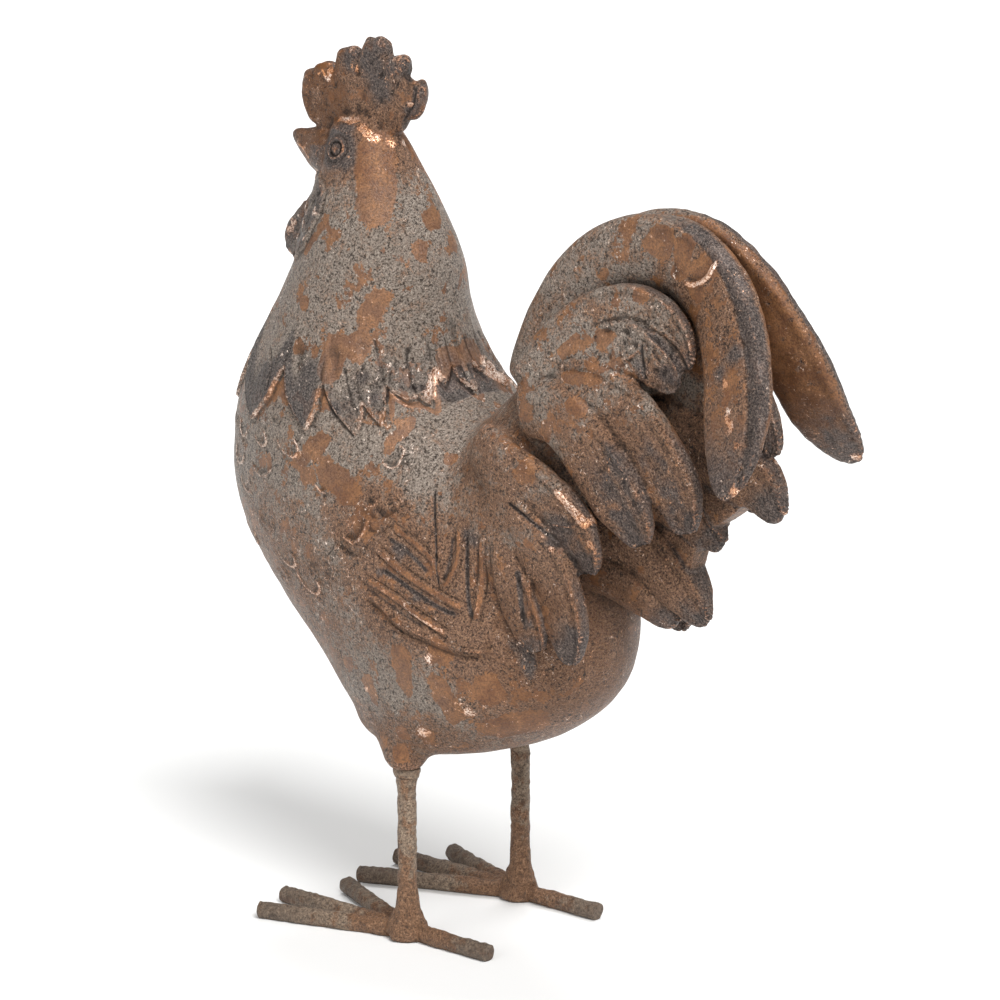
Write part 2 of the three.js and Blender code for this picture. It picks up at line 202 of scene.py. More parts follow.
def path_distance(places: Points, line: Points) -> tuple[Points, Points, Points]:
    """Measure flat points against an open line.

    Args:
        places: The points, two columns.
        line: The line's corners, two columns.

    Returns:
        The distance to the line, the share of its length at the nearest spot, and the side (+1 or -1).
    """
    lengths = np.linalg.norm(np.diff(line, axis=0), axis=1)
    run = np.concatenate([[0.0], np.cumsum(lengths)])
    best = np.full(len(places), np.inf)
    share = np.zeros(len(places))
    side = np.ones(len(places))
    for i, length in enumerate(lengths):
        along = (line[i + 1] - line[i]) / length
        offset = places - line[i]
        reach = np.clip(offset @ along, 0, length)
        gap = offset - reach[:, None] * along
        distance = np.hypot(gap[:, 0], gap[:, 1])
        closer = distance < best
        best = np.where(closer, distance, best)
        share = np.where(closer, (run[i] + reach) / run[-1], share)
        cross = along[0] * offset[:, 1] - along[1] * offset[:, 0]
        side = np.where(closer, np.where(cross >= 0, 1.0, -1.0), side)
    return best, share, side


# Where the drawing lies in the frame


@dataclass(frozen=True)
class Placement:
    """Turns drawn millimetres into the frame's metres, read from the CAD nodes' boxes."""

    drawn_height: float = 364.0
    drawn_length: float = 369.5
    drawn_half_width: float = 73.6
    legs_y: float = 0.0
    cast_low: float = 0.0
    scale: tuple[float, float, float] = (1.0, 1.0, 1.0)

    @classmethod
    def from_frame(cls) -> Placement:
        """Read the cast's and the legs' boxes.

        Returns:
            The placement that puts the drawing on the CAD cast.
        """
        low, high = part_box("rooster_cast")
        left_low, left_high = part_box("left_leg")
        sizes = (np.array(high) - np.array(low)) / MM
        return cls(
            legs_y=(left_low[1] + left_high[1]) / 2 / MM,
            cast_low=low[2] / MM,
            scale=(
                sizes[0] / 2 / cls.drawn_half_width,
                sizes[1] / cls.drawn_length,
                sizes[2] / cls.drawn_height,
            ),
        )

    def to_frame(self, drawn: Points) -> Points:
        """Place drawn millimetres in the frame.

        Args:
            drawn: Points in the rooster's own frame.

        Returns:
            The same points in metres in the CAD frame.
        """
        return (drawn * np.array(self.scale) + np.array([0.0, self.legs_y, self.cast_low])) * MM


# Mesh building


class Clay:
    """Gathers closed skins that are later joined into one mesh."""

    def __init__(self) -> None:
        """Start with nothing."""
        self.points: list[Points] = []
        self.faces: list[tuple[int, ...]] = []
        self.count = 0

    def add(self, rings: Rings) -> None:
        """Add one closed skin over rings of points.

        Args:
            rings: Rings with the same count of points each, from one end to the other.
        """
        sides = len(rings[0])
        base = self.count
        self.points.extend(rings)
        for i in range(len(rings) - 1):
            for j in range(sides):
                a = base + i * sides + j
                b = base + i * sides + (j + 1) % sides
                self.faces.append((a, b, b + sides, a + sides))
        last = base + (len(rings) - 1) * sides
        self.faces.append(tuple(base + j for j in reversed(range(sides))))
        self.faces.append(tuple(last + j for j in range(sides)))
        self.count += sides * len(rings)

    def add_both(self, rings: Rings) -> None:
        """Add a skin and its mirror twin on the rooster's other side."""
        self.add(rings)
        self.add([ring[::-1] * np.array([-1.0, 1.0, 1.0]) for ring in rings])

    def mesh(self, name: str) -> bpy.types.Mesh:
        """Return everything gathered so far as one mesh, in millimetres.

        Args:
            name: The mesh's name.

        Returns:
            The mesh.
        """
        made = bpy.data.meshes.new(name)
        made.from_pydata(np.vstack(self.points).tolist(), [], self.faces)
        made.update()
        return made


def new_object(name: str, data: bpy.types.ID) -> bpy.types.Object:
    """Put a mesh, a light or a camera into the scene as a named object.

    Args:
        name: The object's name.
        data: What it carries.

    Returns:
        The object.
    """
    made = bpy.data.objects.new(name, data)
    bpy.context.scene.collection.objects.link(made)
    return made


def apply_modifiers(obj: bpy.types.Object) -> None:
    """Replace an object's mesh by its modified one.

    Args:
        obj: The object, which loses its modifiers.
    """
    graph = bpy.context.evaluated_depsgraph_get()
    finished = bpy.data.meshes.new_from_object(obj.evaluated_get(graph))
    obj.modifiers.clear()
    old = obj.data
    obj.data = finished
    bpy.data.meshes.remove(old)


def read_points(mesh: bpy.types.Mesh) -> Points:
    """Read a mesh's vertices.

    Args:
        mesh: The mesh.

    Returns:
        Their places, one row each.
    """
    flat = np.empty(len(mesh.vertices) * 3)
    mesh.vertices.foreach_get("co", flat)
    return flat.reshape(-1, 3)


def read_normals(mesh: bpy.types.Mesh) -> Points:
    """Read a mesh's vertex normals.

    Args:
        mesh: The mesh.

    Returns:
        The normals, one row each.
    """
    flat = np.empty(len(mesh.vertices) * 3)
    mesh.vertex_normals.foreach_get("vector", flat)
    return flat.reshape(-1, 3)


def write_points(mesh: bpy.types.Mesh, points: Points) -> None:
    """Move a mesh's vertices."""
    mesh.vertices.foreach_set("co", points.astype(np.float32).ravel())
    mesh.update()


def write_values(mesh: bpy.types.Mesh, name: str, values: Points) -> None:
    """Give a mesh's vertices a named value each, for its paint to read."""
    layer = mesh.attributes.new(name, "FLOAT", "POINT")
    layer.data.foreach_set("value", values.astype(np.float32))


def edge_pairs(mesh: bpy.types.Mesh) -> np.ndarray:
    """Read a mesh's edges.

    Args:
        mesh: The mesh.

    Returns:
        One row of two vertex numbers for each edge.
    """
    flat = np.empty(len(mesh.edges) * 2, dtype=np.int64)
    mesh.edges.foreach_get("vertices", flat)
    return flat.reshape(-1, 2)


def relaxed(points: Points, pairs: np.ndarray, rounds: int, weight: Points) -> Points:
    """Move each vertex towards its neighbours' middle.

    Args:
        points: The vertices.
        pairs: The edges.
        rounds: How many times to do it.
        weight: How far each vertex gives way, from 0 to 1.

    Returns:
        The smoothed vertices.
    """
    pairs = pairs[(weight[pairs] > 0).any(axis=1)]
    count = np.bincount(pairs.ravel(), minlength=len(points))[:, None]
    moved = points.copy()
    for _ in range(rounds):
        total = np.zeros_like(moved)
        for axis in range(3):
            total[:, axis] = np.bincount(
                pairs[:, 0], moved[pairs[:, 1], axis], minlength=len(moved)
            ) + np.bincount(pairs[:, 1], moved[pairs[:, 0], axis], minlength=len(moved))
        moved += weight[:, None] * (total / np.maximum(count, 1) - moved)
    return moved


# The forms of the cast


@dataclass(frozen=True)
class Torso:
    """The torso, neck and head as level slices: height, breast, back and half width."""

    slices: tuple[tuple[float, float, float, float], ...] = (
        (6, -28, 26, 38),
        (10, -46, 42, 47),
        (16, -55, 58, 52),
        (24, -61, 72, 54.5),
        (35, -71, 87, 59),
        (51, -84, 99, 63),
        (70, -104, 105, 66.5),
        (90, -123, 105, 68.5),
        (110, -137, 98, 70),
        (131, -144, 85, 69.5),
        (151, -144, 66, 67.5),
        (171, -140, 38, 64),
        (190, -132, 10, 59),
        (210, -122, -4, 52),
        (230, -112.5, -9, 46),
        (250, -103, -11, 40.5),
        (270, -98, -19, 34.5),
        (286, -93, -28, 29),
        (300, -89, -36, 23),
        (312, -87, -43, 18),
        (320, -83, -50, 12.5),
        (324, -77, -58, 6),
    )
    sides: int = 120
    ring_count: int = 160

    def curve(self) -> Points:
        """Return the slices as a dense smooth table."""
        return catmull(np.array(self.slices, dtype=float), self.ring_count)

    def at(self, heights: Points) -> tuple[Points, Points, Points]:
        """Read the slice at each height.

        Args:
            heights: Heights in millimetres.

        Returns:
            The slice's middle, its half length and its half width.
        """
        table = self.curve()
        front, back, half = (np.interp(heights, table[:, 0], table[:, i]) for i in (1, 2, 3))
        return (front + back) / 2, (back - front) / 2, half

    def rings(self) -> Rings:
        """Build the torso's skin.

        Returns:
            The level rings, from the belly up.
        """
        angle = np.linspace(0, 2 * math.pi, self.sides, endpoint=False)
        made = []
        for height, front, back, half in self.curve():
            middle, reach = (front + back) / 2, (back - front) / 2
            level = np.full(self.sides, height)
            made.append(np.stack([half * np.cos(angle), middle + reach * np.sin(angle), level], axis=1))
        return made


@dataclass(frozen=True)
class Feather:
    """One tail feather swept along its centreline.

    The root is a share of the broadest width, reached at the share of the length called swell.
    The rings crowd towards the rounded tip, and their sections are a little square.
    """

    line: Path3
    half: float
    thick: float
    tip_thick: float
    root: float = 0.9
    swell: float = 0.65
    sides: int = 28
    ring_count: int = 64
    last_share: float = 0.998
    crowding: float = 1.25
    squareness: float = 0.75

    def widths(self, share: Points) -> tuple[Points, Points]:
        """Work out the feather's section.

        Args:
            share: Shares of the length, from the root.

        Returns:
            Half the width and half the thickness at each share.
        """
        rise = self.root + (1 - self.root) * np.sin(math.pi / 2 * np.minimum(share / self.swell, 1))
        late = np.clip((share - self.swell) / (1 - self.swell), 0, 1)
        width = self.half * rise * np.sqrt(1 - late**2)
        taper = np.minimum(1, 2.2 * np.sqrt(1 - share))
        return width, (self.thick + (self.tip_thick - self.thick) * share) * taper

    def frame(self, count: int) -> tuple[Points, Points, Points]:
        """Walk along the feather.

        Args:
            count: How many steps to take.

        Returns:
            The centres, the directions to the upper edge and the directions out of the face.
        """
        centres = catmull(np.array(self.line, dtype=float), count)
        heading = np.gradient(centres, axis=0)
        edge = np.cross(heading, SIDEWAYS)
        edge /= np.linalg.norm(edge, axis=1)[:, None]
        flat = np.cross(edge, heading)
        flat /= np.linalg.norm(flat, axis=1)[:, None]
        return centres, edge, flat

    def rings(self) -> Rings:
        """Build the feather's skin.

        Returns:
            The rings, from the root to the tip.
        """
        even = np.linspace(0, 1, self.ring_count)
        share = self.last_share * (1 - (1 - even) ** self.crowding)
        walked = self.frame(self.ring_count * 3)
        steps = np.arange(len(walked[0]))
        spot = share * steps[-1]
        pick = [
            np.stack([np.interp(spot, steps, rows[:, i]) for i in range(3)], axis=1) for rows in walked
        ]
        width, depth = self.widths(share)
        angle = np.linspace(0, 2 * math.pi, self.sides, endpoint=False)
        wide = np.sign(np.cos(angle)) * np.abs(np.cos(angle)) ** self.squareness
        deep = np.sign(np.sin(angle)) * np.abs(np.sin(angle)) ** self.squareness
        return [
            centre + width[i] * wide[:, None] * across + depth[i] * deep[:, None] * out
            for i, (centre, across, out) in enumerate(zip(*pick))
        ]


MAIN_SICKLE = Feather(
    (
        (12, 58, 205), (12, 74, 240), (11, 95, 266), (9, 118, 279), (8, 137, 282), (8, 156, 280),
        (10, 176, 267), (15, 190, 249), (23, 200, 229), (32, 207, 206), (43, 213, 188), (50, 217, 178),
    ),
    half=21, thick=13, tip_thick=5, root=0.6, swell=0.8, ring_count=110, sides=40,
)  # fmt: skip
SIDE_FEATHERS = (
    Feather(((36, 80, 214), (33, 97, 236), (28, 116, 251), (24, 138, 256), (22, 158, 248), (22, 169, 229)),
            half=12.5, thick=8, tip_thick=4, root=1, swell=0.6),
    Feather(((32, 92, 216), (31, 112, 230), (28, 134, 237), (26, 154, 230), (25, 165, 219)),
            half=14.5, thick=8, tip_thick=5, root=0.9, swell=0.6),
    Feather(((33, 92, 206), (34, 112, 214), (32, 136, 205), (30, 155, 186), (28, 167, 168), (28, 173, 148)),
            half=17, thick=8, tip_thick=5, root=1),
    Feather(((37, 76, 200), (40, 99, 201), (39, 117, 188), (37, 131, 170), (34, 142, 153), (32, 148, 138)),
            half=17.5, thick=7, tip_thick=5),
    Feather(((43, 50, 180), (48, 70, 171), (46, 90, 160), (43, 106, 147), (40, 116, 132), (39, 118, 120)),
            half=16.5, thick=7, tip_thick=5, root=0.8),
    Feather(((45, 60, 156), (48, 83, 143), (45, 98, 124), (43, 106, 104), (42, 109, 87), (42, 108, 73)),
            half=13.5, thick=7, tip_thick=5, root=0.8),
    Feather(((48, 57, 140), (49, 71, 124), (48, 81, 105), (46, 87, 89), (44, 91, 77)),
            half=12, thick=6, tip_thick=4, root=0.8),
)  # fmt: skip
MIDDLE_FEATHERS = (
    Feather(((0, 100, 230), (0, 150, 240), (0, 184, 222), (0, 201, 200), (0, 203, 187)),
            half=12, thick=8, tip_thick=5, root=1.2, swell=0.6),
    Feather(((0, 90, 178), (0, 130, 190), (0, 168, 186), (0, 194, 174), (0, 209, 156)),
            half=17, thick=15, tip_thick=8, root=1.3, swell=0.6),
    Feather(((0, 80, 150), (0, 120, 160), (0, 152, 154), (0, 173, 136)),
            half=14, thick=18, tip_thick=8, root=1.3, swell=0.5),
    Feather(((0, 80, 130), (0, 118, 134), (0, 143, 118), (0, 163, 95)),
            half=15, thick=22, tip_thick=8, root=1.5, swell=0.5),
    Feather(((0, 70, 116), (0, 104, 116), (0, 128, 106), (0, 143, 91)),
            half=14, thick=26, tip_thick=9, root=1.4, swell=0.5),
)  # fmt: skip


@dataclass(frozen=True)
class TailRoot:
    """The rump and the tail's thick root, swept along the middle plane, and the web behind it."""

    line: Path3 = (
        (0, 34, 112), (0, 62, 158), (0, 88, 196), (0, 114, 218), (0, 140, 226),
    )  # fmt: skip
    half: tuple[float, ...] = (52, 46, 36, 25, 14)
    thick: tuple[float, ...] = (58, 51, 40, 27, 14)
    web: Outline = (
        (58, 140), (66, 212), (92, 246), (124, 262), (156, 258), (180, 236), (192, 202), (192, 166),
        (164, 142), (148, 112), (100, 104),
    )  # fmt: skip
    web_half: float = 7
    web_corners: int = 80
    sides: int = 64
    ring_count: int = 48

    def rings(self) -> Rings:
        """Build the root's skin.

        Returns:
            The rings, from the rump back.
        """
        centres = catmull(np.array(self.line, dtype=float), self.ring_count)
        heading = np.gradient(centres, axis=0)
        edge = np.cross(heading, SIDEWAYS)
        edge /= np.linalg.norm(edge, axis=1)[:, None]
        spot = np.linspace(0, len(self.half) - 1, self.ring_count)
        half = np.interp(spot, np.arange(len(self.half)), self.half)
        thick = np.interp(spot, np.arange(len(self.thick)), self.thick)
        angle = np.linspace(0, 2 * math.pi, self.sides, endpoint=False)
        return [
            centres[i]
            + half[i] * np.cos(angle)[:, None] * edge[i]
            + thick[i] * np.sin(angle)[:, None] * SIDEWAYS
            for i in range(self.ring_count)
        ]

    def web_rings(self) -> Rings:
        """Build the web's skin.

        Returns:
            Two copies of its outline, one on each side of the middle plane.
        """
        corners = np.array(self.web + self.web[:1], dtype=float)
        outline = catmull(corners, self.web_corners)[:-1]
        return [
            np.column_stack([np.full(len(outline), x), outline]) for x in (-self.web_half, self.web_half)
        ]


@dataclass(frozen=True)
class Head:
    """The face with its beak, the comb and the wattles."""

    beak: tuple[tuple[float, float, float, float], ...] = (
        (-70, 301, 16, 16),
        (-88, 300.5, 14, 14),
        (-100, 301.5, 11.5, 9),
        (-109, 304, 7, 5.5),
        (-115, 306.5, 3.6, 3),
        (-117.5, 307.3, 1.2, 1.2),
    )
    comb: Outline = (
        (-96, 311), (-105, 317), (-110.5, 327), (-110, 336), (-105, 343), (-97, 348), (-89, 347.5),
        (-86, 346), (-84.5, 354), (-79, 358.5), (-72, 358), (-68, 356.5), (-64.5, 363), (-58, 365),
        (-51, 363.5), (-47, 356.5), (-41, 358.5), (-36.5, 356), (-35, 346.5), (-30, 347.5),
        (-25, 345), (-24, 336), (-28, 328), (-38, 320), (-48, 314), (-72, 309),
    )  # fmt: skip
    comb_half: float = 5
    comb_inset: float = 0.8
    comb_round: float = 3.4
    comb_corners: int = 240
    comb_rings_count: int = 13
    beak_sides: int = 40
    beak_rings_count: int = 40
    wattle: Feather = Feather(
        ((8, -86, 291), (9, -86, 279), (10, -93, 267), (10, -103, 257), (10, -112, 246)),
        half=10.5, thick=5, tip_thick=5, root=0.65, swell=0.6,
    )  # fmt: skip

    def beak_rings(self) -> Rings:
        """Build the skin of the face and the beak.

        Returns:
            Upright rings, from the face to the beak's tip.
        """
        angle = np.linspace(0, 2 * math.pi, self.beak_sides, endpoint=False)
        return [
            np.stack([half * np.cos(angle), np.full(len(angle), y), z + tall * np.sin(angle)], axis=1)
            for y, z, tall, half in catmull(np.array(self.beak, dtype=float), self.beak_rings_count)
        ]

    def comb_rings(self) -> Rings:
        """Build the comb's skin with its round edge.

        Returns:
            Insets of its outline, from one face to the other.
        """
        outline = catmull(np.array(self.comb + self.comb[:1], dtype=float), self.comb_corners)[:-1]
        tangent = np.roll(outline, -2, axis=0) - np.roll(outline, 2, axis=0)
        inward = np.stack([-tangent[:, 1], tangent[:, 0]], axis=1)
        inward /= np.linalg.norm(inward, axis=1)[:, None]
        middle = outline.mean(axis=0)
        if np.sum(inward * (middle - outline)) < 0:
            inward = -inward
        made = []
        for turn in np.linspace(-math.pi / 2, math.pi / 2, self.comb_rings_count):
            inset = self.comb_inset + self.comb_round * (1 - math.cos(turn))
            ring = outline + inset * inward
            made.append(np.column_stack([np.full(len(ring), self.comb_half * math.sin(turn)), ring]))
        return made


@dataclass(frozen=True)
class Stump:
    """The thigh stump that takes the leg bar, widening into the belly and leaning inwards."""

    spacing: float = 87
    profile: Outline = (
        (6.8, -0.4), (8.2, 0), (9, 1), (11.2, 3.5), (13.4, 6.5), (15, 9.5), (17, 15), (18, 20),
    )  # fmt: skip
    lean_inwards: float = 10
    lean_forwards: float = 8
    sides: int = 48

    def rings(self) -> Rings:
        """Build the left stump's skin.

        Returns:
            The level rings, from its end up.
        """
        angle = np.linspace(0, 2 * math.pi, self.sides, endpoint=False)
        top = self.profile[-1][1]
        made = []
        for radius, height in self.profile:
            lean = max(height, 0) / top
            x = self.spacing / 2 - self.lean_inwards * lean + radius * np.cos(angle)
            y = radius * np.sin(angle) - self.lean_forwards * lean
            made.append(np.stack([x, y, np.full(self.sides, height)], axis=1))
        return made


# Carving


class Relief:
    """Collects how far each vertex moves along its normal, and what the paint shows there."""

    def __init__(self, count: int) -> None:
        """Start with a bare surface of the given number of vertices."""
        self.height = np.zeros(count)
        self.paint = {channel: np.zeros(count) for channel in Channel}

    def stain(self, channel: Channel, amount: Points) -> None:
        """Deepen a paint channel where amount is stronger than what is there."""
        self.paint[channel] = np.maximum(self.paint[channel], np.clip(amount, 0, 1))

    def deepen(self, channel: Channel, where: np.ndarray, amount: Points) -> None:
        """Deepen a paint channel on some vertices only.

        Args:
            channel: The paint state.
            where: The vertices' numbers.
            amount: One value for each of them.
        """
        values = self.paint[channel]
        values[where] = np.maximum(values[where], np.clip(amount, 0, 1))


@dataclass(frozen=True)
class Fold:
    """One modelled ridge or cut, drawn in side view at a depth from the middle plane.

    The line gives distance back and height. The rise is negative for a cut. The stained channel
    follows the line. A fold with a flat top, flat being half its width, gets a bright border of
    copper with a painted highlight, and a line of painted shade round it.
    """

    depth: float
    line: Outline
    width: float
    rise: float
    channel: Channel | None = None
    strength: float = 0.5
    flat: float = 0.0
    reach: float = 11.0

    def carve(self, relief: Relief, left: Points) -> None:
        """Carve the fold where the surface lies near it.

        Args:
            relief: Where the carving is collected.
            left: All vertices, with x taken to the left side.
        """
        corners = np.array(self.line, dtype=float)
        near = close_by(left[:, 1:], corners, 4 * self.width + self.flat)
        near = near[np.abs(left[near, 0] - self.depth) < self.reach]
        if not len(near):
            return
        distance, run, _ = path_distance(left[near, 1:], catmull(corners, 8 * len(corners)))
        fade = between(0, 0.12, 0.88, 1, run) * 0.85 + 0.15
        if self.flat > 0:
            border = bump(distance - self.flat - 0.1, 0.5) * fade
            outline = bump(distance - self.flat - 1.4, 0.7) * fade
            relief.height[near] -= 0.5 * outline
            # Copper with a painted highlight on the border, painted shade in the cut line round it.
            relief.deepen(Channel.COPPER_AND_HIGHLIGHT, near, 0.28 * border)
            relief.deepen(Channel.SHADE_AND_PUPIL, near, 0.55 * outline)
        distance = np.maximum(distance - self.flat, 0)
        relief.height[near] += self.rise * bump(distance, self.width) * fade
        if self.channel is not None:
            relief.deepen(self.channel, near, self.strength * bump(distance, self.width) * fade)


@dataclass(frozen=True)
class Blot:
    """One patch of a paint state round a short line on the surface.

    The channel is 1 on the line, half at the radius and 0 at twice the radius.
    """

    radius: float
    line: Path3

    def spread(self, relief: Relief, channel: Channel, left: Points) -> None:
        """Lay the patch on the vertices near it.

        Args:
            relief: Where the paint is collected.
            channel: The paint state.
            left: All vertices, with x taken to the left side.
        """
        corners = np.array(self.line, dtype=float)
        near = close_by(left, corners, 2 * self.radius)
        places = left[near]
        distance = np.linalg.norm(places - corners[0], axis=1)
        for start, end in zip(corners, corners[1:]):
            along = end - start
            share = np.clip((places - start) @ along / (along @ along), 0, 1)
            gap = places - start - share[:, None] * along
            distance = np.minimum(distance, np.linalg.norm(gap, axis=1))
        relief.deepen(channel, near, 1 - 0.5 * distance / self.radius)


def blots(*rows: tuple) -> tuple[Blot, ...]:
    """Return one patch for each row of a radius and the places on its line."""
    return tuple(Blot(radius, tuple(places)) for radius, *places in rows)


# In the fold tables below, the copper ridges also carry a painted highlight, and the cuts stained with the
# shade channel carry painted shade.
NECK_FOLDS = (
    Fold(41, ((-27, 220), (-21, 205), (-17, 195)), 0.9, -0.8, Channel.PATINA),
    Fold(46, ((-17, 204), (-13, 191), (-13, 182)), 1.0, -1.0, Channel.PATINA),
    Fold(53, ((-37, 205), (-30, 193), (-21, 182)), 1.0, -0.8, Channel.PATINA),
    Fold(49, ((-28, 207), (-27, 198), (-23, 188)), 1.0, -0.8, Channel.PATINA),
    Fold(30, ((-14, 215), (-11, 202)), 1.1, -0.8, Channel.PATINA),
    Fold(54, ((-89, 207), (-82, 198), (-82, 186)), 1.0, -0.7, Channel.PATINA),
    Fold(13, ((0, 204), (4, 195), (11, 188)), 1.8, -1.2, Channel.PATINA, 0.8),
    Fold(61, ((-81, 176), (-73, 171), (-64, 178)), 0.8, 0.6, Channel.COPPER_AND_HIGHLIGHT, 0.35),
    Fold(40, ((-16, 196), (-5, 188), (4, 186), (7, 192)), 0.8, 0.6, Channel.COPPER_AND_HIGHLIGHT, 0.4),
    Fold(35, ((-8, 196), (0, 194), (6, 195)), 1.4, -0.7, Channel.PATINA, 0.8),
    Fold(56, ((-1, 166), (-1, 162), (5, 160), (7, 164), (6, 169), (2, 171)),
         0.7, 0.7, Channel.COPPER_AND_HIGHLIGHT, 0.6),
    Fold(63, ((-13, 155), (-10, 156), (-9, 161)), 0.7, 0.6, Channel.COPPER_AND_HIGHLIGHT, 0.45),
    Fold(61, ((-94, 147), (-83, 142), (-71, 149)), 0.8, 0.7, Channel.COPPER_AND_HIGHLIGHT, 0.5),
    Fold(52, ((-110, 157), (-103, 152)), 0.8, 0.6, Channel.COPPER_AND_HIGHLIGHT, 0.4),
)

WING_FOLDS = (
    Fold(70, ((-36, 108), (-27, 111), (-22, 118), (-23, 126)), 0.9, 1.0, Channel.COPPER_AND_HIGHLIGHT, 0.3),
    Fold(70, ((-20, 124), (-11, 121), (-5, 127), (-3, 135)), 1.0, 1.3, Channel.COPPER_AND_HIGHLIGHT, 0.5),
    Fold(70, ((-24, 120), (-10, 115), (-1, 123)), 1.8, -0.8, Channel.SHADE_AND_PUPIL, 0.6),
    Fold(67, ((-9, 136), (2, 134), (10, 137), (14, 141)), 0.8, 0.8, Channel.COPPER_AND_HIGHLIGHT, 0.3),
    Fold(67, ((-3, 130), (4, 129), (12, 134)), 1.5, -0.8, Channel.SHADE_AND_PUPIL, 0.6),
    Fold(66, ((-10, 142), (-1, 141), (1, 147)), 0.8, 0.7, Channel.COPPER_AND_HIGHLIGHT, 0.5),
    Fold(62, ((4, 149), (9, 147), (14, 141), (24, 144)), 0.8, 0.7, Channel.COPPER_AND_HIGHLIGHT, 0.3),
    Fold(68, ((-40, 147), (-34, 143), (-30, 145)), 0.8, 0.7, Channel.COPPER_AND_HIGHLIGHT, 0.5),
    Fold(64, ((10, 133), (24, 126), (35, 118), (40, 108)), 0.6, 0.5, Channel.RUST, 0.54, 0.9),
    Fold(65, ((8, 127), (22, 120), (34, 111)), 1.6, -0.8, Channel.PATINA, 0.75),
    Fold(66, ((1, 122), (20, 110.5), (38, 102), (55, 95)), 0.6, 0.7, Channel.RUST, 0.52, 1.3),
    Fold(66, ((4, 111), (14, 107), (26, 101), (42, 94), (52, 92)), 1.6, -1.1, Channel.PATINA, 0.85),
    Fold(66, ((-7, 105), (12, 98), (30, 89), (48, 80)), 0.6, 0.6, Channel.RUST, 0.52, 1.2),
    Fold(66, ((22, 91), (34, 86), (44, 82)), 0.8, 0.3, Channel.COPPER_AND_HIGHLIGHT, 0.75),
    Fold(66, ((-6, 99), (6, 95), (18, 89), (34, 83)), 1.5, -0.8, Channel.PATINA, 0.5),
    Fold(62, ((-6, 99), (6, 91), (16, 84), (32, 79), (50, 75), (65, 75), (71, 80)),
         0.9, 1.0, Channel.COPPER_AND_HIGHLIGHT, 0.35),
    Fold(62, ((-7, 95), (6, 87), (16, 80), (32, 75), (50, 71), (66, 71)), 1.5, -1.2, Channel.SHADE_AND_PUPIL, 0.7),
    Fold(59, ((27, 155), (34, 131), (37, 115), (40, 103)), 0.7, -1.2, Channel.PATINA, 0.8),
    Fold(59, ((46, 137), (47, 122), (45, 112), (41, 103)), 0.6, 0.5, Channel.RUST, 0.55, 0.7),
    Fold(59, ((43, 132), (43, 118), (41, 108)), 1.3, -0.9, Channel.PATINA, 0.6),
    Fold(54, ((62, 136), (60, 116), (60, 102), (58, 86)), 0.6, 0.6, Channel.RUST, 0.54, 1.0),
    Fold(56, ((51, 137), (52, 117), (55, 98), (58, 88)), 1.3, -1.2, Channel.PATINA, 0.8),
    Fold(54, ((67, 132), (66, 116), (70, 100)), 1.5, -0.9, Channel.SHADE_AND_PUPIL, 0.6),
)

TAIL_FOLDS = (
    Fold(49, ((88, 124), (91, 107), (90, 91)), 0.8, 0.8, Channel.COPPER_AND_HIGHLIGHT, 0.35),
    Fold(48, ((84, 122), (86, 106), (86, 92)), 1.8, -1.0, Channel.PATINA, 1.0),
    Fold(51, ((77, 155), (92, 148), (102, 141), (108, 134)), 0.9, -1.5, Channel.PATINA, 1.0),
    Fold(50, ((74, 169), (93, 171), (106, 164)), 0.8, 0.6, Channel.COPPER_AND_HIGHLIGHT, 0.3),
    Fold(45, ((105, 165), (114, 157), (124, 147)), 2.0, 0.8, Channel.COPPER_AND_HIGHLIGHT, 1.1),
    Fold(46, ((102, 146), (116, 147), (119, 153)), 0.8, 0.7, Channel.COPPER_AND_HIGHLIGHT, 0.45),
    Fold(40, ((134, 186), (135, 177), (124, 173), (121, 167)), 0.9, 0.7, Channel.COPPER_AND_HIGHLIGHT, 0.3),
    Fold(43, ((120, 200), (121, 190), (116, 186)), 0.9, 0.6, Channel.COPPER_AND_HIGHLIGHT, 0.3),
    Fold(37, ((131, 208), (138, 210), (140, 217)), 0.9, 0.6, Channel.COPPER_AND_HIGHLIGHT, 0.4),
    Fold(40, ((100, 223), (118, 225), (134, 220), (150, 214)), 1.2, -1.0, Channel.SHADE_AND_PUPIL, 0.8),
    Fold(27, ((147, 248), (157, 242), (164, 235), (167, 227), (164, 219)), 0.9, -1.7, Channel.PATINA, 1.0),
    Fold(27, ((146, 252), (160, 245), (168, 237), (171, 228)), 1.0, 0.8, Channel.COPPER_AND_HIGHLIGHT, 0.35),
    Fold(32, ((135, 231), (145, 238), (146, 243)), 0.9, 0.9, Channel.COPPER_AND_HIGHLIGHT, 0.4),
    Fold(31, ((147, 243), (147, 234), (149, 223)), 0.9, -1.2, Channel.PATINA, 0.9),
    Fold(31, ((152, 240), (160, 231)), 0.9, -0.7, Channel.PATINA, 0.6),
    Fold(17, ((160, 271), (168, 272), (176, 277), (180, 286)), 1.2, 1.0, Channel.COPPER_AND_HIGHLIGHT, 1.0, 0.0, 14),
)

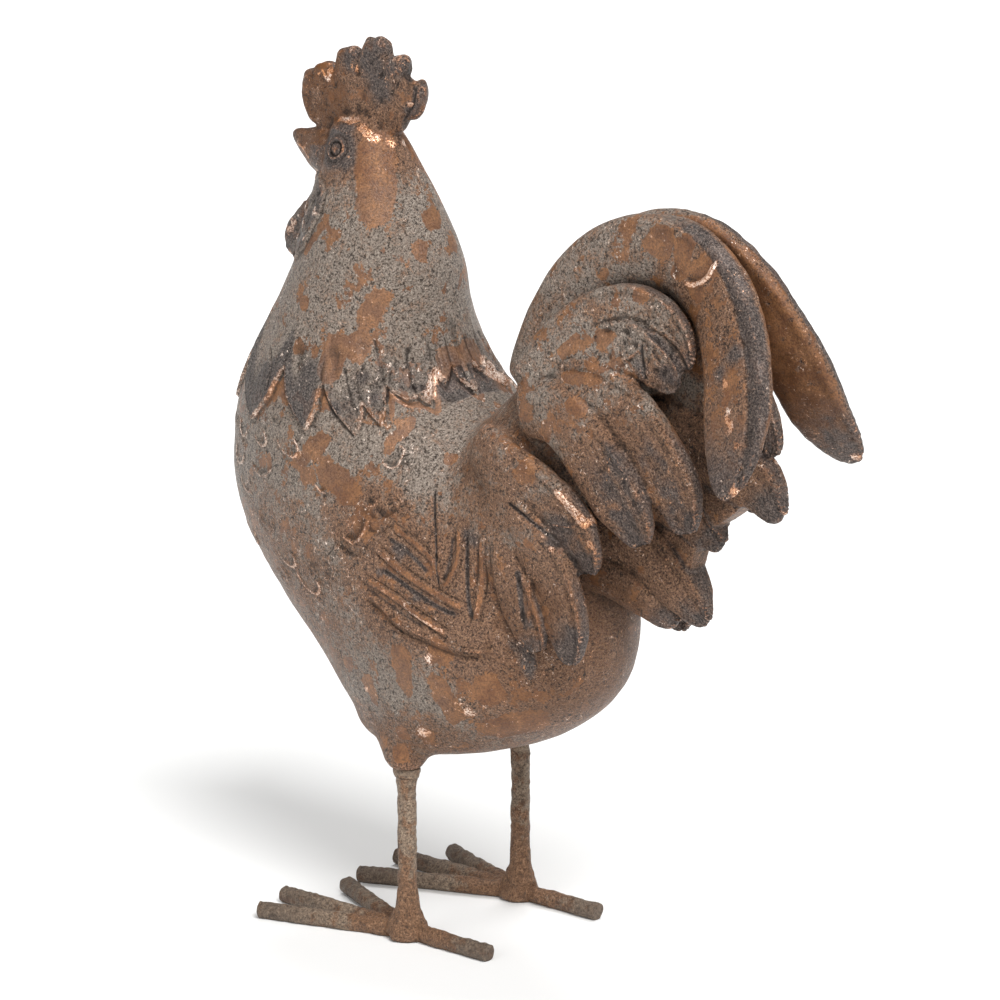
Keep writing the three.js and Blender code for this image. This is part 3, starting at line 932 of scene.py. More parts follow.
HEAD_FOLDS = (
    Fold(3, ((-27, 345), (-30, 334), (-38, 321)), 1.3, -1.5, Channel.PATINA, 1.0),
    Fold(4, ((-86, 349), (-84, 341), (-82, 336)), 1.6, -0.9, Channel.PATINA, 0.4),
    Fold(4, ((-69, 359), (-68, 349), (-67, 343)), 1.6, -0.9, Channel.PATINA, 0.4),
    Fold(4, ((-48, 359), (-50, 350), (-52, 344)), 1.6, -0.9, Channel.PATINA, 0.5),
    Fold(4, ((-36, 349), (-41, 342), (-45, 336)), 1.5, -0.9, Channel.PATINA, 0.5),
    Fold(4, ((-101, 345), (-98, 340)), 1.5, -0.7, Channel.PATINA, 0.5),
    Fold(4, ((-93, 345), (-88, 339), (-86, 344)), 0.8, 0.7, Channel.COPPER_AND_HIGHLIGHT, 0.8),
    Fold(7, ((-110, 308), (-95, 311), (-84, 314), (-74, 317), (-64, 319)), 1.3, 0.7, Channel.COPPER_AND_HIGHLIGHT, 0.3),
    Fold(6, ((-112, 304), (-104, 302), (-96, 297)), 1.2, 0.4, Channel.COPPER_AND_HIGHLIGHT, 0.55),
    Fold(22, ((-57, 308), (-54, 297), (-49, 286), (-42, 276)), 2.6, -0.3, Channel.PATINA, 0.42),
)

RUST_BLOTS = blots(
    (10, (13, -47, 311), (19, -42, 297), (24, -38, 284)), (2.4, (58, -76, 190), (58, -83, 180)),
    (2.6, (57, -45, 191), (62, -50, 180)), (2.0, (52, -19, 186)), (7, (1, -22, 275)),
    (5, (12, -17, 262)), (4, (45, -69, 232)), (6.5, (34, -27, 238), (38, -30, 229)),
    (6.5, (47, -43, 216), (54, -43, 202)), (8, (44, -32, 215)), (4.5, (52, -65, 211)),
    (9, (8, -1, 206)), (3.5, (64, -60, 169)), (4.5, (63, -38, 169), (67, -52, 156)),
    (3.5, (63, -76, 151)), (3.5, (55, -2, 168), (41, 2, 181)), (4, (40, 27, 166)),
    (8, (67, -31, 153), (67, -18, 147)), (5, (67, -45, 149)), (9, (70, -5, 133)), (8, (51, 83, 199)),
    (5, (60, -25, 54)), (5, (60, -10, 46), (59, -8, 38)), (5.5, (65, 18, 67), (62, 17, 49)),
    (6, (61, 40, 72)), (5.5, (61, 37, 56), (55, 43, 39)), (9, (50, 63, 53)),
    (10, (40, 62, 32), (32, 75, 36)), (4.5, (54, 7, 21)), (5.5, (51, 22, 22)), (4.5, (52, 5, 9)),
    (9, (17, 144, 290)), (5.5, (16, 161, 293), (17, 157, 278)), (7, (17, 172, 280), (10, 183, 287)),
    (5, (17, 125, 294)), (4, (20, 111, 269)), (6, (15, 195, 275)), (6, (17, 169, 269)),
    (6, (35, 126, 242)), (4, (28, 142, 264)), (6, (43, 115, 206)), (3, (47, 101, 199), (45, 90, 180)),
    (3.5, (42, 104, 221), (39, 126, 222)), (6, (52, 89, 172)), (3.5, (40, 103, 233), (38, 109, 239)),
    (3.0, (34, -63, 273), (34, -69, 265), (34, -76, 257)),
)  # fmt: skip

PATINA_BLOTS = blots(
    (7, (55, -87, 195), (55, -95, 179)), (6.5, (56, -54, 200), (61, -58, 188)), (4, (57, -35, 185)),
    (3.5, (46, -26, 200)), (4, (47, -16, 191)), (6, (16, 5, 193)), (8, (5, -58, 353), (4, -51, 340)),
    (5, (4, -38, 351)), (3.5, (3, -26, 340), (2, -32, 328)), (4.5, (14, -68, 317)), (5, (21, -58, 304)),
    (4, (20, -78, 304)), (3, (66, 29, 99)), (3, (69, 6, 109)), (3.5, (66, 16, 120)),
    (4.5, (56, 53, 133)), (3.5, (45, 84, 111), (48, 89, 95)), (9, (46, 115, 89), (43, 111, 80)),
    (5, (47, 105, 139)), (6, (42, 121, 127)), (4.5, (39, 135, 188), (36, 150, 162)),
    (6, (34, 146, 144)), (5, (29, 176, 158)), (8, (46, 209, 186)), (5, (26, 201, 243)),
    (4, (27, 194, 233)), (9, (3, 207, 164)), (5, (5, 170, 144)), (6, (29, 161, 228)),
    (4.5, (32, 146, 229)),
)  # fmt: skip

# Spots of copper with a painted highlight: small glints on crests and edges.
COPPER_AND_HIGHLIGHT_BLOTS = blots(
    (3, (38, 213, 204)), (3, (46, 219, 182)), (1.6, (4, 202, 186)), (1.5, (8, -101, 304)),
    (2.1, (4, -88, 343)), (2.2, (4, -69, 348)), (1.8, (5, -43, 349)), (1.6, (4, -43, 356)),
    (1.5, (4, -31, 333)), (1.9, (33, 203, 216), (35, 206, 209)), (1.6, (29, 198, 229)),
    (2.6, (8, -76, 320), (10, -67, 321)), (2.3, (11, -60, 319), (11, -53, 317), (9, -48, 314)),
    (1.8, (4, -44, 312)), (3.4, (27, 1, 190), (17, 0, 201)), (1.4, (59, -14, 42)), (1.9, (63, 33, 68)),
    (1.6, (54, 48, 43), (51, 52, 40)), (2.6, (53, 22, 24)), (1.6, (49, 104, 134)), (1.5, (50, 92, 141)),
    (2.6, (43, 123, 139)), (1.5, (48, 100, 112)), (1.3, (47, 104, 96)),
)  # fmt: skip


@dataclass(frozen=True)
class NeckCollar:
    """The collar of pointed neck feathers: a raised edge in a zigzag, told by angle and height.

    Angles are in degrees round the torso, -90 at the breast and 90 at the back. Tips and partings
    take turns, and each side of a tip swells a little like a leaf.
    """

    zigzag: Outline = (
        (-88, 177), (-76, 200), (-62, 170), (-47, 200), (-29, 169), (-8, 200), (1, 171), (15, 195),
        (22, 173), (32, 188), (35, 178), (45, 196), (52, 190), (58, 191), (62, 187), (70, 203),
        (75, 196), (82, 203), (90, 190),
    )  # fmt: skip
    per_degree: float = 1.15
    leaf: float = 0.14
    step: float = 1.7

    def outline(self) -> Points:
        """Draw the zigzag with its leaf-shaped sides.

        Returns:
            Its corners, the angles taken to millimetres.
        """
        corners = [np.array(self.zigzag[0], dtype=float)]
        for start, end in zip(self.zigzag, self.zigzag[1:]):
            tip, parting = (start, end) if start[1] < end[1] else (end, start)
            middle = (np.array(start) + np.array(end)) / 2
            middle[0] += self.leaf * (parting[0] - tip[0])
            corners += [middle, np.array(end, dtype=float)]
        return np.array(corners) * np.array([self.per_degree, 1.0])

    def carve(self, relief: Relief, angle: Points, height: Points, share: Points, grain: Points) -> None:
        """Raise the collar and mark its grooves with painted shade, its dark tips, and its worn edges with
        copper and a painted highlight.

        Args:
            relief: Where the carving is collected.
            angle: Each vertex's angle round the torso in degrees.
            height: Each vertex's height.
            share: How much each vertex belongs to the torso.
            grain: Random values that break up the paint.
        """
        line = self.outline()
        near = np.nonzero(share > 0.01)[0]
        angle, height, share, grain = angle[near], height[near], share[near], grain[near]
        places = np.stack([angle * self.per_degree, height], axis=1)
        distance, _, _ = path_distance(places, line)
        edge_height = np.interp(places[:, 0], line[:, 0], line[:, 1])
        over = height - edge_height
        signed = np.where(over > 0, distance, -distance)
        fade = 1 - smoothstep(6, 40, over)
        raised = self.step * smoothstep(-0.3, 0.9, signed) * fade
        rim = 0.4 * bump(signed - 0.8, 0.8) - 0.45 * bump(signed + 1.3, 1.1)
        barbs = -0.22 * np.cos(angle * math.pi / 1.7) * smoothstep(1.5, 5, signed)
        barbs = barbs * (1 - smoothstep(12, 26, over))
        parting = np.zeros_like(height)
        for notch_angle, notch_height in self.zigzag[1::2]:
            beside = (angle - notch_angle) * self.per_degree + 0.6 * np.sin(height / 5.0)
            reach = between(-2, 2, 8, 18, height - notch_height)
            parting -= 0.8 * bump(beside, 1.0) * reach
        relief.height[near] += share * (raised + rim + barbs + parting)
        ahead = 1 - smoothstep(2, 14, angle)
        dark = between(0.5, 3, 10, 30, over) * (0.45 + 0.5 * ahead)
        relief.deepen(Channel.PATINA, near, share * dark * (0.8 + 0.4 * grain))
        inside_notch = bump(signed + 2.6, 2.2) * smoothstep(176, 186, height)
        relief.deepen(Channel.RUST, near, 0.72 * share * inside_notch)
        # The worn edge shows copper with a painted highlight.
        edge = bump(signed - 0.3, 0.7)
        relief.deepen(Channel.COPPER_AND_HIGHLIGHT, near, share * edge * (0.36 + 0.32 * grain))
        # Painted shade in the partings between the feathers.
        relief.deepen(Channel.SHADE_AND_PUPIL, near, share * np.clip(-0.9 * parting, 0, 1))


@dataclass(frozen=True)
class BreastScales:
    """Small rounded feather ends pressed into the breast, more and less worn away, their rims copper with a
    painted highlight.
    """

    lowest: float = 92
    highest: float = 168
    row_step: float = 14
    column_step: float = 14
    radius: float = 5.2
    kept_share: float = 0.55
    first_angle: float = -88
    last_angle: float = -4
    per_degree: float = 1.2
    seed: int = 7

    def carve(self, relief: Relief, angle: Points, height: Points, share: Points) -> None:
        """Press the scales in.

        Args:
            relief: Where the carving is collected.
            angle: Each vertex's angle round the torso in degrees.
            height: Each vertex's height.
            share: How much each vertex belongs to the torso.
        """
        draw = np.random.default_rng(self.seed)
        for row, level in enumerate(np.arange(self.lowest, self.highest, self.row_step)):
            for column in np.arange(self.first_angle, self.last_angle, self.column_step):
                chance, slide, lift, size, lean = draw.random(5)
                if chance > self.kept_share:
                    continue
                middle_angle = column + (row % 2) * self.column_step / 2 + 6 * (slide - 0.5)
                middle_height = level + 5 * (lift - 0.5)
                radius = self.radius * (0.7 + 0.5 * size)
                beside = (angle - middle_angle) * self.per_degree
                upward = height - middle_height
                near = np.nonzero((np.abs(beside) < 12) & (np.abs(upward) < 14) & (share > 0.01))[0]
                tilt = (lean - 0.5) * 0.9
                across = beside[near] * math.cos(tilt) - upward[near] * math.sin(tilt)
                along = beside[near] * math.sin(tilt) + upward[near] * math.cos(tilt)
                ring = np.hypot(across, 0.85 * along) - radius
                open_top = 1 - smoothstep(0.1 * radius, 0.8 * radius, along)
                mark = bump(ring, 0.7) * open_top * share[near]
                relief.height[near] += 0.5 * mark - 0.3 * bump(ring - 1.7, 0.9) * open_top * share[near]
                # Copper with a painted highlight on each mark's rim.
                relief.deepen(Channel.COPPER_AND_HIGHLIGHT, near, mark * (0.25 + 0.45 * chance / self.kept_share))


@dataclass(frozen=True)
class OnPlumes:
    """Where the vertices that lie on a feather or wattle are on it.

    The share is along the length. Across runs from -1 at the upper edge to 1 at the lower one, and
    deep from -1 at the inner face to 1 at the outer one. The part fades out off the plume.
    """

    numbers: np.ndarray
    owner: np.ndarray
    part: Points
    share: Points
    across: Points
    deep: Points


@dataclass(frozen=True)
class PlumeCarving:
    """The rims, lengthwise creases, faces and dark tips of the tail's feathers and the wattles.

    The sets of numbers name feathers in the order of plumes. The upper rims and the wattles' crumples carry
    copper with a painted highlight, and the lengthwise grooves carry painted shade.
    """

    plumes: tuple[Feather, ...] = (MAIN_SICKLE, *SIDE_FEATHERS, *MIDDLE_FEATHERS, Head().wattle)
    samples: int = 60
    squareness: float = 2.6
    rim_rise: float = 1.0
    crease_depth: float = 0.2
    greyer: tuple[int, ...] = (1, 2)
    crumpled: tuple[int, ...] = (2,)
    scooped: tuple[int, ...] = (3, 4, 5)

    def located(self, left: Points) -> OnPlumes:
        """Find the plume that each vertex lies on.

        Args:
            left: All vertices, with x taken to the left side.

        Returns:
            The vertices that lie on one, and where.
        """
        count = len(left)
        best = np.full(count, np.inf)
        share, across, deep = np.zeros(count), np.zeros(count), np.zeros(count)
        owner = np.full(count, -1)
        for number, plume in enumerate(self.plumes):
            centres, edge, flat = plume.frame(self.samples)
            near = close_by(left, centres, max(plume.half, plume.thick) + 5)
            places = left[near]
            closest = np.full(len(near), np.inf)
            spot = np.zeros(len(near), dtype=int)
            for i, centre in enumerate(centres):
                gap = ((places - centre) ** 2).sum(axis=1)
                nearer = gap < closest
                closest = np.where(nearer, gap, closest)
                spot = np.where(nearer, i, spot)
            offset = places - centres[spot]
            run = spot / (self.samples - 1)
            width, depth = plume.widths(np.minimum(run, 0.97))
            wide = (offset * edge[spot]).sum(axis=1) / np.maximum(width, 1)
            thick = (offset * flat[spot]).sum(axis=1) / np.maximum(depth, 1)
            power = self.squareness
            size = (np.abs(wide) ** power + np.abs(thick) ** power) ** (1 / power)
            off_skin = np.abs(size - 1) * depth
            closer = off_skin < best[near]
            kept = near[closer]
            best[kept], share[kept], across[kept] = off_skin[closer], run[closer], wide[closer]
            deep[kept] = thick[closer]
            owner[kept] = number
        part = 1 - smoothstep(2.0, 4.5, best)
        out = np.nonzero(part > 0.01)[0]
        return OnPlumes(out, owner[out], part[out], share[out], across[out], deep[out])

    def carve(self, relief: Relief, left: Points, grain: Points) -> None:
        """Carve every plume and mark its paint.

        Args:
            relief: Where the carving is collected.
            left: All vertices, with x taken to the left side.
            grain: Random values that break up the paint.
        """
        found = self.located(left)
        out, owner, part = found.numbers, found.owner, found.part
        share, across, deep = found.share, found.across, found.deep
        places, rough = left[out], grain[out]
        main = owner == 0
        wattle = owner == len(self.plumes) - 1
        crumpled = np.isin(owner, self.crumpled)
        scooped = np.isin(owner, self.scooped)

        upper_rim = bump(across + 0.86, 0.09) * smoothstep(0.2, 0.5, share)
        lower_rim = bump(across - 0.88, 0.09) * smoothstep(0.3, 0.6, share)
        groove = bump(across + 0.66, 0.09) * smoothstep(0.25, 0.5, share)
        face_on = smoothstep(0.75, 0.25, np.abs(across)) * smoothstep(0.35, 0.7, share)
        dish = face_on * np.where(scooped, 1.3, 0.5)
        crease = self.crease_depth * (0.5 + 0.5 * np.cos(across * 11 + owner * 2.0)) ** 3
        wrinkle = np.where(crumpled, 1.2, 0.35) * lattice_noise(places, 6.0, 31)
        wrinkle = wrinkle + np.where(crumpled, 0.8, 0.15) * lattice_noise(places, 2.8, 32)
        height = self.rim_rise * (upper_rim + 0.3 * lower_rim) - 0.5 * groove - dish - crease
        free = smoothstep(0.3, 0.55, share)
        relief.height[out] += part * free * (np.where(main, 0.5, 1.0) * height + wrinkle)
        inner = -0.9 + 0.42 * smoothstep(0.4, 0.7, share)
        outer_face = smoothstep(-0.5, 0.1, deep)
        step = main * outer_face * smoothstep(0.03, -0.05, across - inner) * smoothstep(0.42, 0.5, share)
        relief.height[out] -= part * 0.9 * step

        tip = smoothstep(0.72, 1.0, share) * (0.45 + 0.5 * rough)
        band = main * smoothstep(0.02, -0.1, across - inner) * smoothstep(0.42, 0.52, share)
        band = band * outer_face * (0.55 + 0.4 * rough)
        sides = bump(np.abs(across) - 1.0, 0.14) * smoothstep(0.4, 0.7, share) * np.where(main, 0.3, 0.6)
        relief.deepen(Channel.PATINA, out, part * np.maximum(np.maximum(tip, band), sides))
        relief.deepen(Channel.PATINA, out, part * wattle * (0.4 + 0.3 * rough))
        # Copper with painted highlights scattered over the wattles.
        relief.deepen(Channel.COPPER_AND_HIGHLIGHT, out, part * wattle * 0.5 * smoothstep(0.55, 0.9, rough))
        relief.deepen(Channel.PATINA, out, part * scooped * face_on * (0.3 + 0.6 * rough))
        inner_face = main * (1 - smoothstep(-0.6, -0.1, deep)) * smoothstep(0.35, 0.5, share)
        relief.deepen(Channel.RUST, out, part * inner_face * (0.45 + 0.3 * rough))
        greyer = np.isin(owner, self.greyer) & (share < 0.75)
        brown = (smoothstep(0.15, 0.5, share) * 0.5 + 0.35) * np.where(greyer, 0.4, 1.0)
        brown = brown * (0.25 + 0.75 * smoothstep(-0.35, 0.2, lattice_noise(places, 15.0, 35)))
        brown = np.where(main, 0.15 + 0.7 * smoothstep(0.4, 0.65, share), brown)
        relief.deepen(Channel.BROWN, out, part * brown)
        orange = main * smoothstep(0.5, 0.62, share) * (1 - band)
        relief.deepen(Channel.RUST, out, part * orange * (0.28 + 0.35 * rough))
        # The worn upper rim shows copper with a painted highlight.
        worn = bump(across + 0.86, 0.06) * smoothstep(0.35, 0.6, share) * (0.25 + 0.5 * rough)
        relief.deepen(Channel.COPPER_AND_HIGHLIGHT, out, 0.48 * part * worn)
        # Painted shade in the lengthwise groove.
        relief.deepen(Channel.SHADE_AND_PUPIL, out, part * groove * 0.5)


@dataclass(frozen=True)
class HeadCarving:
    """The eye's ring, the beak, and the comb's lumpy lobes."""

    eye: tuple[float, float] = (-70, 308)
    eye_ring: float = 4.9
    ball: float = 2.6
    squeeze: float = 0.8
    ball_groove: float = 3.4
    ring_groove: float = 6.6
    wattle_edge: Outline = (
        (-84, 297), (-79, 293), (-71, 288), (-69, 279), (-73, 269), (-80, 257), (-92, 246),
    )  # fmt: skip

    def carve(self, relief: Relief, left: Points, grain: Points) -> None:
        """Carve the head.

        Args:
            relief: Where the carving is collected.
            left: All vertices, with x taken to the left side.
            grain: Random values that break up the paint.
        """
        side_view = left[:, 1:]
        on_head = smoothstep(272, 288, left[:, 2]) * (left[:, 1] < 0)
        from_eye = side_view - np.array(self.eye)
        radius = np.hypot(from_eye[:, 0] * self.squeeze, from_eye[:, 1])
        cheek = on_head * (left[:, 0] > 8) * (left[:, 2] < 322)
        ball = 0.9 * np.sqrt(np.clip(1 - (radius / self.ball) ** 2, 0, 1))
        ring = 1.1 * bump(radius - self.eye_ring, 0.65)
        inner, outer = radius - self.ball_groove, radius - self.ring_groove
        groove = -0.9 * bump(inner, 0.5) - 0.6 * bump(outer, 1.0)
        brow = 0.9 * bump(from_eye[:, 1] - 8.5 + 0.1 * from_eye[:, 0], 1.5) * bump(from_eye[:, 0], 9)
        relief.height += cheek * (ball + ring + groove + brow)
        # Painted shade in the eye's two grooves.
        relief.stain(Channel.SHADE_AND_PUPIL, cheek * (0.8 * bump(inner, 0.6) + 0.5 * bump(outer, 0.9)))
        # The dark pupil, painted with the same dark as the shade.
        relief.stain(Channel.SHADE_AND_PUPIL, cheek * 0.65 * bump(radius, 1.4))
        relief.stain(Channel.PATINA, cheek * (1 - smoothstep(8, 14, radius)) * 0.75)
        # A painted highlight with copper along the eye's ring.
        relief.stain(Channel.COPPER_AND_HIGHLIGHT, cheek * bump(radius - self.eye_ring, 0.7) * (0.25 + 0.3 * grain))
        self.carve_wattle(relief, left, grain)
        face = on_head * smoothstep(-74, -82, left[:, 1]) * (left[:, 2] < 322) * (left[:, 2] > 294)
        relief.stain(Channel.BROWN, face)
        relief.stain(Channel.PATINA, face * 0.6 * smoothstep(-108, -116, left[:, 1]))
        comb = smoothstep(314, 319, left[:, 2]) * (left[:, 1] < -15)
        bulge = 0.9 * lattice_noise(left, 9.0, 41) + 0.4 * lattice_noise(left, 3.2, 42)
        bulge = bulge + 1.2 * (1 - smoothstep(2.0, 4.2, left[:, 0])) * lattice_noise(left, 4.6, 43)
        relief.height += comb * bulge
        relief.stain(Channel.BROWN, comb * (1 - 0.3 * smoothstep(-80, -58, left[:, 1])))
        upper = smoothstep(338, 350, left[:, 2]) * smoothstep(-92, -70, left[:, 1])
        relief.stain(Channel.PATINA, comb * upper * (0.35 + 0.5 * grain))
        edge = comb * (1 - smoothstep(1.5, 3.5, left[:, 0])) * 0.6
        relief.stain(Channel.PATINA, edge * (0.5 + 0.6 * grain))
        # Copper with painted highlights here and there along the comb's rim.
        border = comb * bump(left[:, 0] - 3.4, 0.9)
        relief.stain(Channel.COPPER_AND_HIGHLIGHT, border * smoothstep(0.45, 0.9, grain) * 0.45)

    def carve_wattle(self, relief: Relief, left: Points, grain: Points) -> None:
        """Raise the wattle's crumpled upper part where it lies on the throat.

        Args:
            relief: Where the carving is collected.
            left: All vertices, with x taken to the left side.
            grain: Random values that break up the paint.
        """
        near = np.nonzero(
            (left[:, 1] < -60) & (left[:, 1] > -112) & (left[:, 2] > 240) & (left[:, 2] < 299)
        )[0]
        places = left[near]
        distance, run, side = path_distance(places[:, 1:], catmull(np.array(self.wattle_edge), 60))
        signed = distance * -side
        ends = between(0.0, 0.15, 0.85, 1.0, run)
        inside = smoothstep(-0.5, 1.0, signed) * smoothstep(5, 11, places[:, 0]) * ends
        crumple = 0.8 * lattice_noise(places, 4.6, 33) + 0.6 * lattice_noise(places, 2.4, 34)
        crumple = crumple * smoothstep(10, 20, places[:, 0])
        rim = 0.5 * bump(signed - 1.3, 1.0)
        relief.height[near] += inside * (1.0 + rim + crumple) - 0.35 * bump(signed + 1.2, 1.0) * ends
        relief.deepen(Channel.PATINA, near, inside * (0.35 + 0.35 * grain[near]))
        relief.deepen(Channel.PATINA, near, 0.35 * bump(signed + 1.0, 1.0) * ends)
        # Copper with painted highlights on the crumples' tops.
        relief.deepen(Channel.COPPER_AND_HIGHLIGHT, near, inside * 0.6 * smoothstep(0.1, 0.7, crumple))


@dataclass(frozen=True)
class BroadTone:
    """Where the whole body is more brown than grey, in side view: middle, radii and strength."""

    middle: tuple[float, float]
    radii: tuple[float, float]
    strength: float


BROAD_TONES = (
    BroadTone((30, 104), (52, 40), 0.75),
    BroadTone((-5, 134), (30, 20), 0.65),
    BroadTone((104, 74), (62, 66), 0.95),
    BroadTone((20, 12), (90, 22), 0.5),
    BroadTone((70, 165), (40, 40), 0.5),
    BroadTone((-60, 330), (60, 38), 0.9),
    BroadTone((-70, 84), (60, 54), 0.4),
    BroadTone((160, 150), (60, 60), 0.9),
)


@dataclass(frozen=True)
class Cast:
    """The whole bird above its legs, as one skin."""

    placement: Placement
    torso: Torso = field(default_factory=Torso)
    head: Head = field(default_factory=Head)
    root: TailRoot = field(default_factory=TailRoot)
    stump: Stump = field(default_factory=Stump)
    voxel: float = 0.9
    most_triangles: int = 194_000
    saddle: tuple[tuple[float, ...], tuple[float, ...]] = ((0, 42, 158), (120, 50, 60))
    thigh: tuple[tuple[float, ...], tuple[float, ...]] = ((42, -2, 16), (24, 28, 15))

    def build(self) -> bpy.types.Object:
        """Join, smooth, carve and thin the cast.

        Returns:
            The finished object, in the frame's metres, with its paint channels as attributes.
        """
        clay = Clay()
        clay.add(self.torso.rings())
        clay.add(self.root.rings())
        clay.add(self.root.web_rings())
        clay.add(self.head.beak_rings())
        clay.add(self.head.comb_rings())
        clay.add_both(self.head.wattle.rings())
        clay.add_both(self.stump.rings())
        clay.add_both(MAIN_SICKLE.rings())
        for feather in SIDE_FEATHERS:
            clay.add_both(feather.rings())
        for feather in MIDDLE_FEATHERS:
            clay.add(feather.rings())
        obj = new_object("rooster_cast_skin", clay.mesh("rooster_cast_skin"))
        remesh = obj.modifiers.new("join", "REMESH")
        remesh.mode = "VOXEL"
        remesh.voxel_size = self.voxel
        apply_modifiers(obj)
        LOG.info("joined skin: %d vertices", len(obj.data.vertices))
        points = self.smoothed(obj)
        relief = self.carved(points)
        write_points(obj.data, points)
        normals = read_normals(obj.data)
        carved = points + relief.height[:, None] * normals
        write_points(obj.data, carved)
        self.thin(obj)
        self.paint(obj, carved, relief)
        write_points(obj.data, self.placement.to_frame(read_points(obj.data)))
        obj.data.shade_smooth()
        return obj

    def torso_share(self, points: Points) -> tuple[Points, Points]:
        """Tell how much each vertex lies on the torso, and at what angle round it.

        Args:
            points: Vertices with x taken to the left side.

        Returns:
            The share from 0 to 1, and the angle in degrees, -90 at the breast and 90 at the back.
        """
        middle, reach, half = self.torso.at(points[:, 2])
        forward = (points[:, 1] - middle) / np.maximum(reach, 1)
        outward = points[:, 0] / np.maximum(half, 1)
        radius = np.hypot(forward, outward)
        share = 1 - smoothstep(0.05, 0.11, np.abs(radius - 1))
        return share, np.degrees(np.arctan2(forward, outward))

    def smoothed(self, obj: bpy.types.Object) -> Points:
        """Round the joints between the forms, most at the saddle and over the thighs.

        Args:
            obj: The joined skin.

        Returns:
            Its vertices, smoothed.
        """
        points = read_points(obj.data)
        pairs = edge_pairs(obj.data)
        weight = np.full(len(points), 0.5)
        points = relaxed(points, pairs, 6, weight)
        left = to_left(points)
        soft = 0.7 * (1 - smoothstep(0.75, 1.1, ellipsoid(left, *self.saddle)))
        over_thigh = 0.7 * (1 - smoothstep(0.7, 1.05, ellipsoid(left, *self.thigh)))
        soft = np.maximum(soft, over_thigh * smoothstep(3, 6, left[:, 2]))
        return relaxed(points, pairs, 110, soft)

    def carved(self, points: Points) -> Relief:
        """Work out the carving for every vertex.

        Args:
            points: The smoothed vertices.

        Returns:
            The relief to add and what the paint shows.
        """
        relief = Relief(len(points))
        left = to_left(points)
        share, angle = self.torso_share(left)
        grain = 0.5 + 0.5 * lattice_noise(points, 5.0, 11) + 0.25 * lattice_noise(points, 2.4, 12)
        height = left[:, 2]
        neck = share * smoothstep(140, 160, height) * (1 - smoothstep(250, 262, height))
        NeckCollar().carve(relief, angle, height, neck, grain)
        BreastScales().carve(relief, angle, height, share)
        PlumeCarving().carve(relief, left, grain)
        HeadCarving().carve(relief, left, grain)
        for fold in (*NECK_FOLDS, *WING_FOLDS, *TAIL_FOLDS, *HEAD_FOLDS):
            fold.carve(relief, left)
        drift = [
            2.2 * lattice_noise(points, 6.5, seed) + 1.1 * lattice_noise(points, 3.0, seed + 1)
            for seed in (81, 83, 85)
        ]
        ragged = left + np.column_stack(drift)
        for channel, blots in (
            (Channel.RUST, RUST_BLOTS),
            (Channel.PATINA, PATINA_BLOTS),
            (Channel.COPPER_AND_HIGHLIGHT, COPPER_AND_HIGHLIGHT_BLOTS),
        ):
            for blot in blots:
                blot.spread(relief, channel, ragged)
        for tone in BROAD_TONES:
            away = ellipsoid(left[:, 1:], tone.middle, tone.radii)
            relief.stain(Channel.BROWN, tone.strength * (1 - smoothstep(0.6, 1.3, away)))
        relief.height += 0.3 * lattice_noise(points, 17.0, 21) + 0.13 * lattice_noise(points, 6.0, 22)
        return relief

    def thin(self, obj: bpy.types.Object) -> None:
        """Collapse the flattest faces until the mesh is light enough.

        Args:
            obj: The carved skin.
        """
        triangles = sum(len(face.vertices) - 2 for face in obj.data.polygons)
        decimate = obj.modifiers.new("thin", "DECIMATE")
        decimate.ratio = min(1.0, self.most_triangles / triangles)
        decimate.use_collapse_triangulate = True
        apply_modifiers(obj)
        LOG.info("thinned skin: %d triangles from %d", len(obj.data.polygons), triangles)

    def paint(self, obj: bpy.types.Object, carved: Points, relief: Relief) -> None:
        """Write the paint channels and the shape's own hollows and edges as attributes.

        Args:
            obj: The thinned object, still in drawn millimetres.
            carved: The vertices before thinning.
            relief: The relief that was carved on them.
        """
        tree = KDTree(len(carved))
        for number, point in enumerate(carved):
            tree.insert(point, number)
        tree.balance()
        kept = read_points(obj.data)
        nearest = np.array([tree.find(point)[1] for point in kept])
        for channel in Channel:
            values = relief.paint[channel][nearest]
            write_values(obj.data, channel.value, values)
        pairs = edge_pairs(obj.data)
        normals = read_normals(obj.data)
        # How much each place bends in or out: the paint puts painted shade in hollows and crevices and
        # painted highlights on edges.
        for name, rounds in (("bend", 5), ("valley", 60)):
            softened = relaxed(kept, pairs, rounds, np.full(len(kept), 0.6))
            bend = ((softened - kept) * normals).sum(axis=1)
            write_values(obj.data, name, bend)


# Legs and feet


@dataclass(frozen=True)
class BarSpec:
    """The sizes of the iron bars in millimetres, beside those that the CAD nodes' boxes give."""

    leg_radius: float = 5.0
    toe_radius: float = 4.5
    toe_low: float = -4.15
    weld_radius: float = 10.5
    weld_top: float = 24.0
    collar_radius: float = 7.0
    collar_height: float = 9.0
    rough: float = 0.42
    leg_sides: int = 48
    toe_sides: int = 40


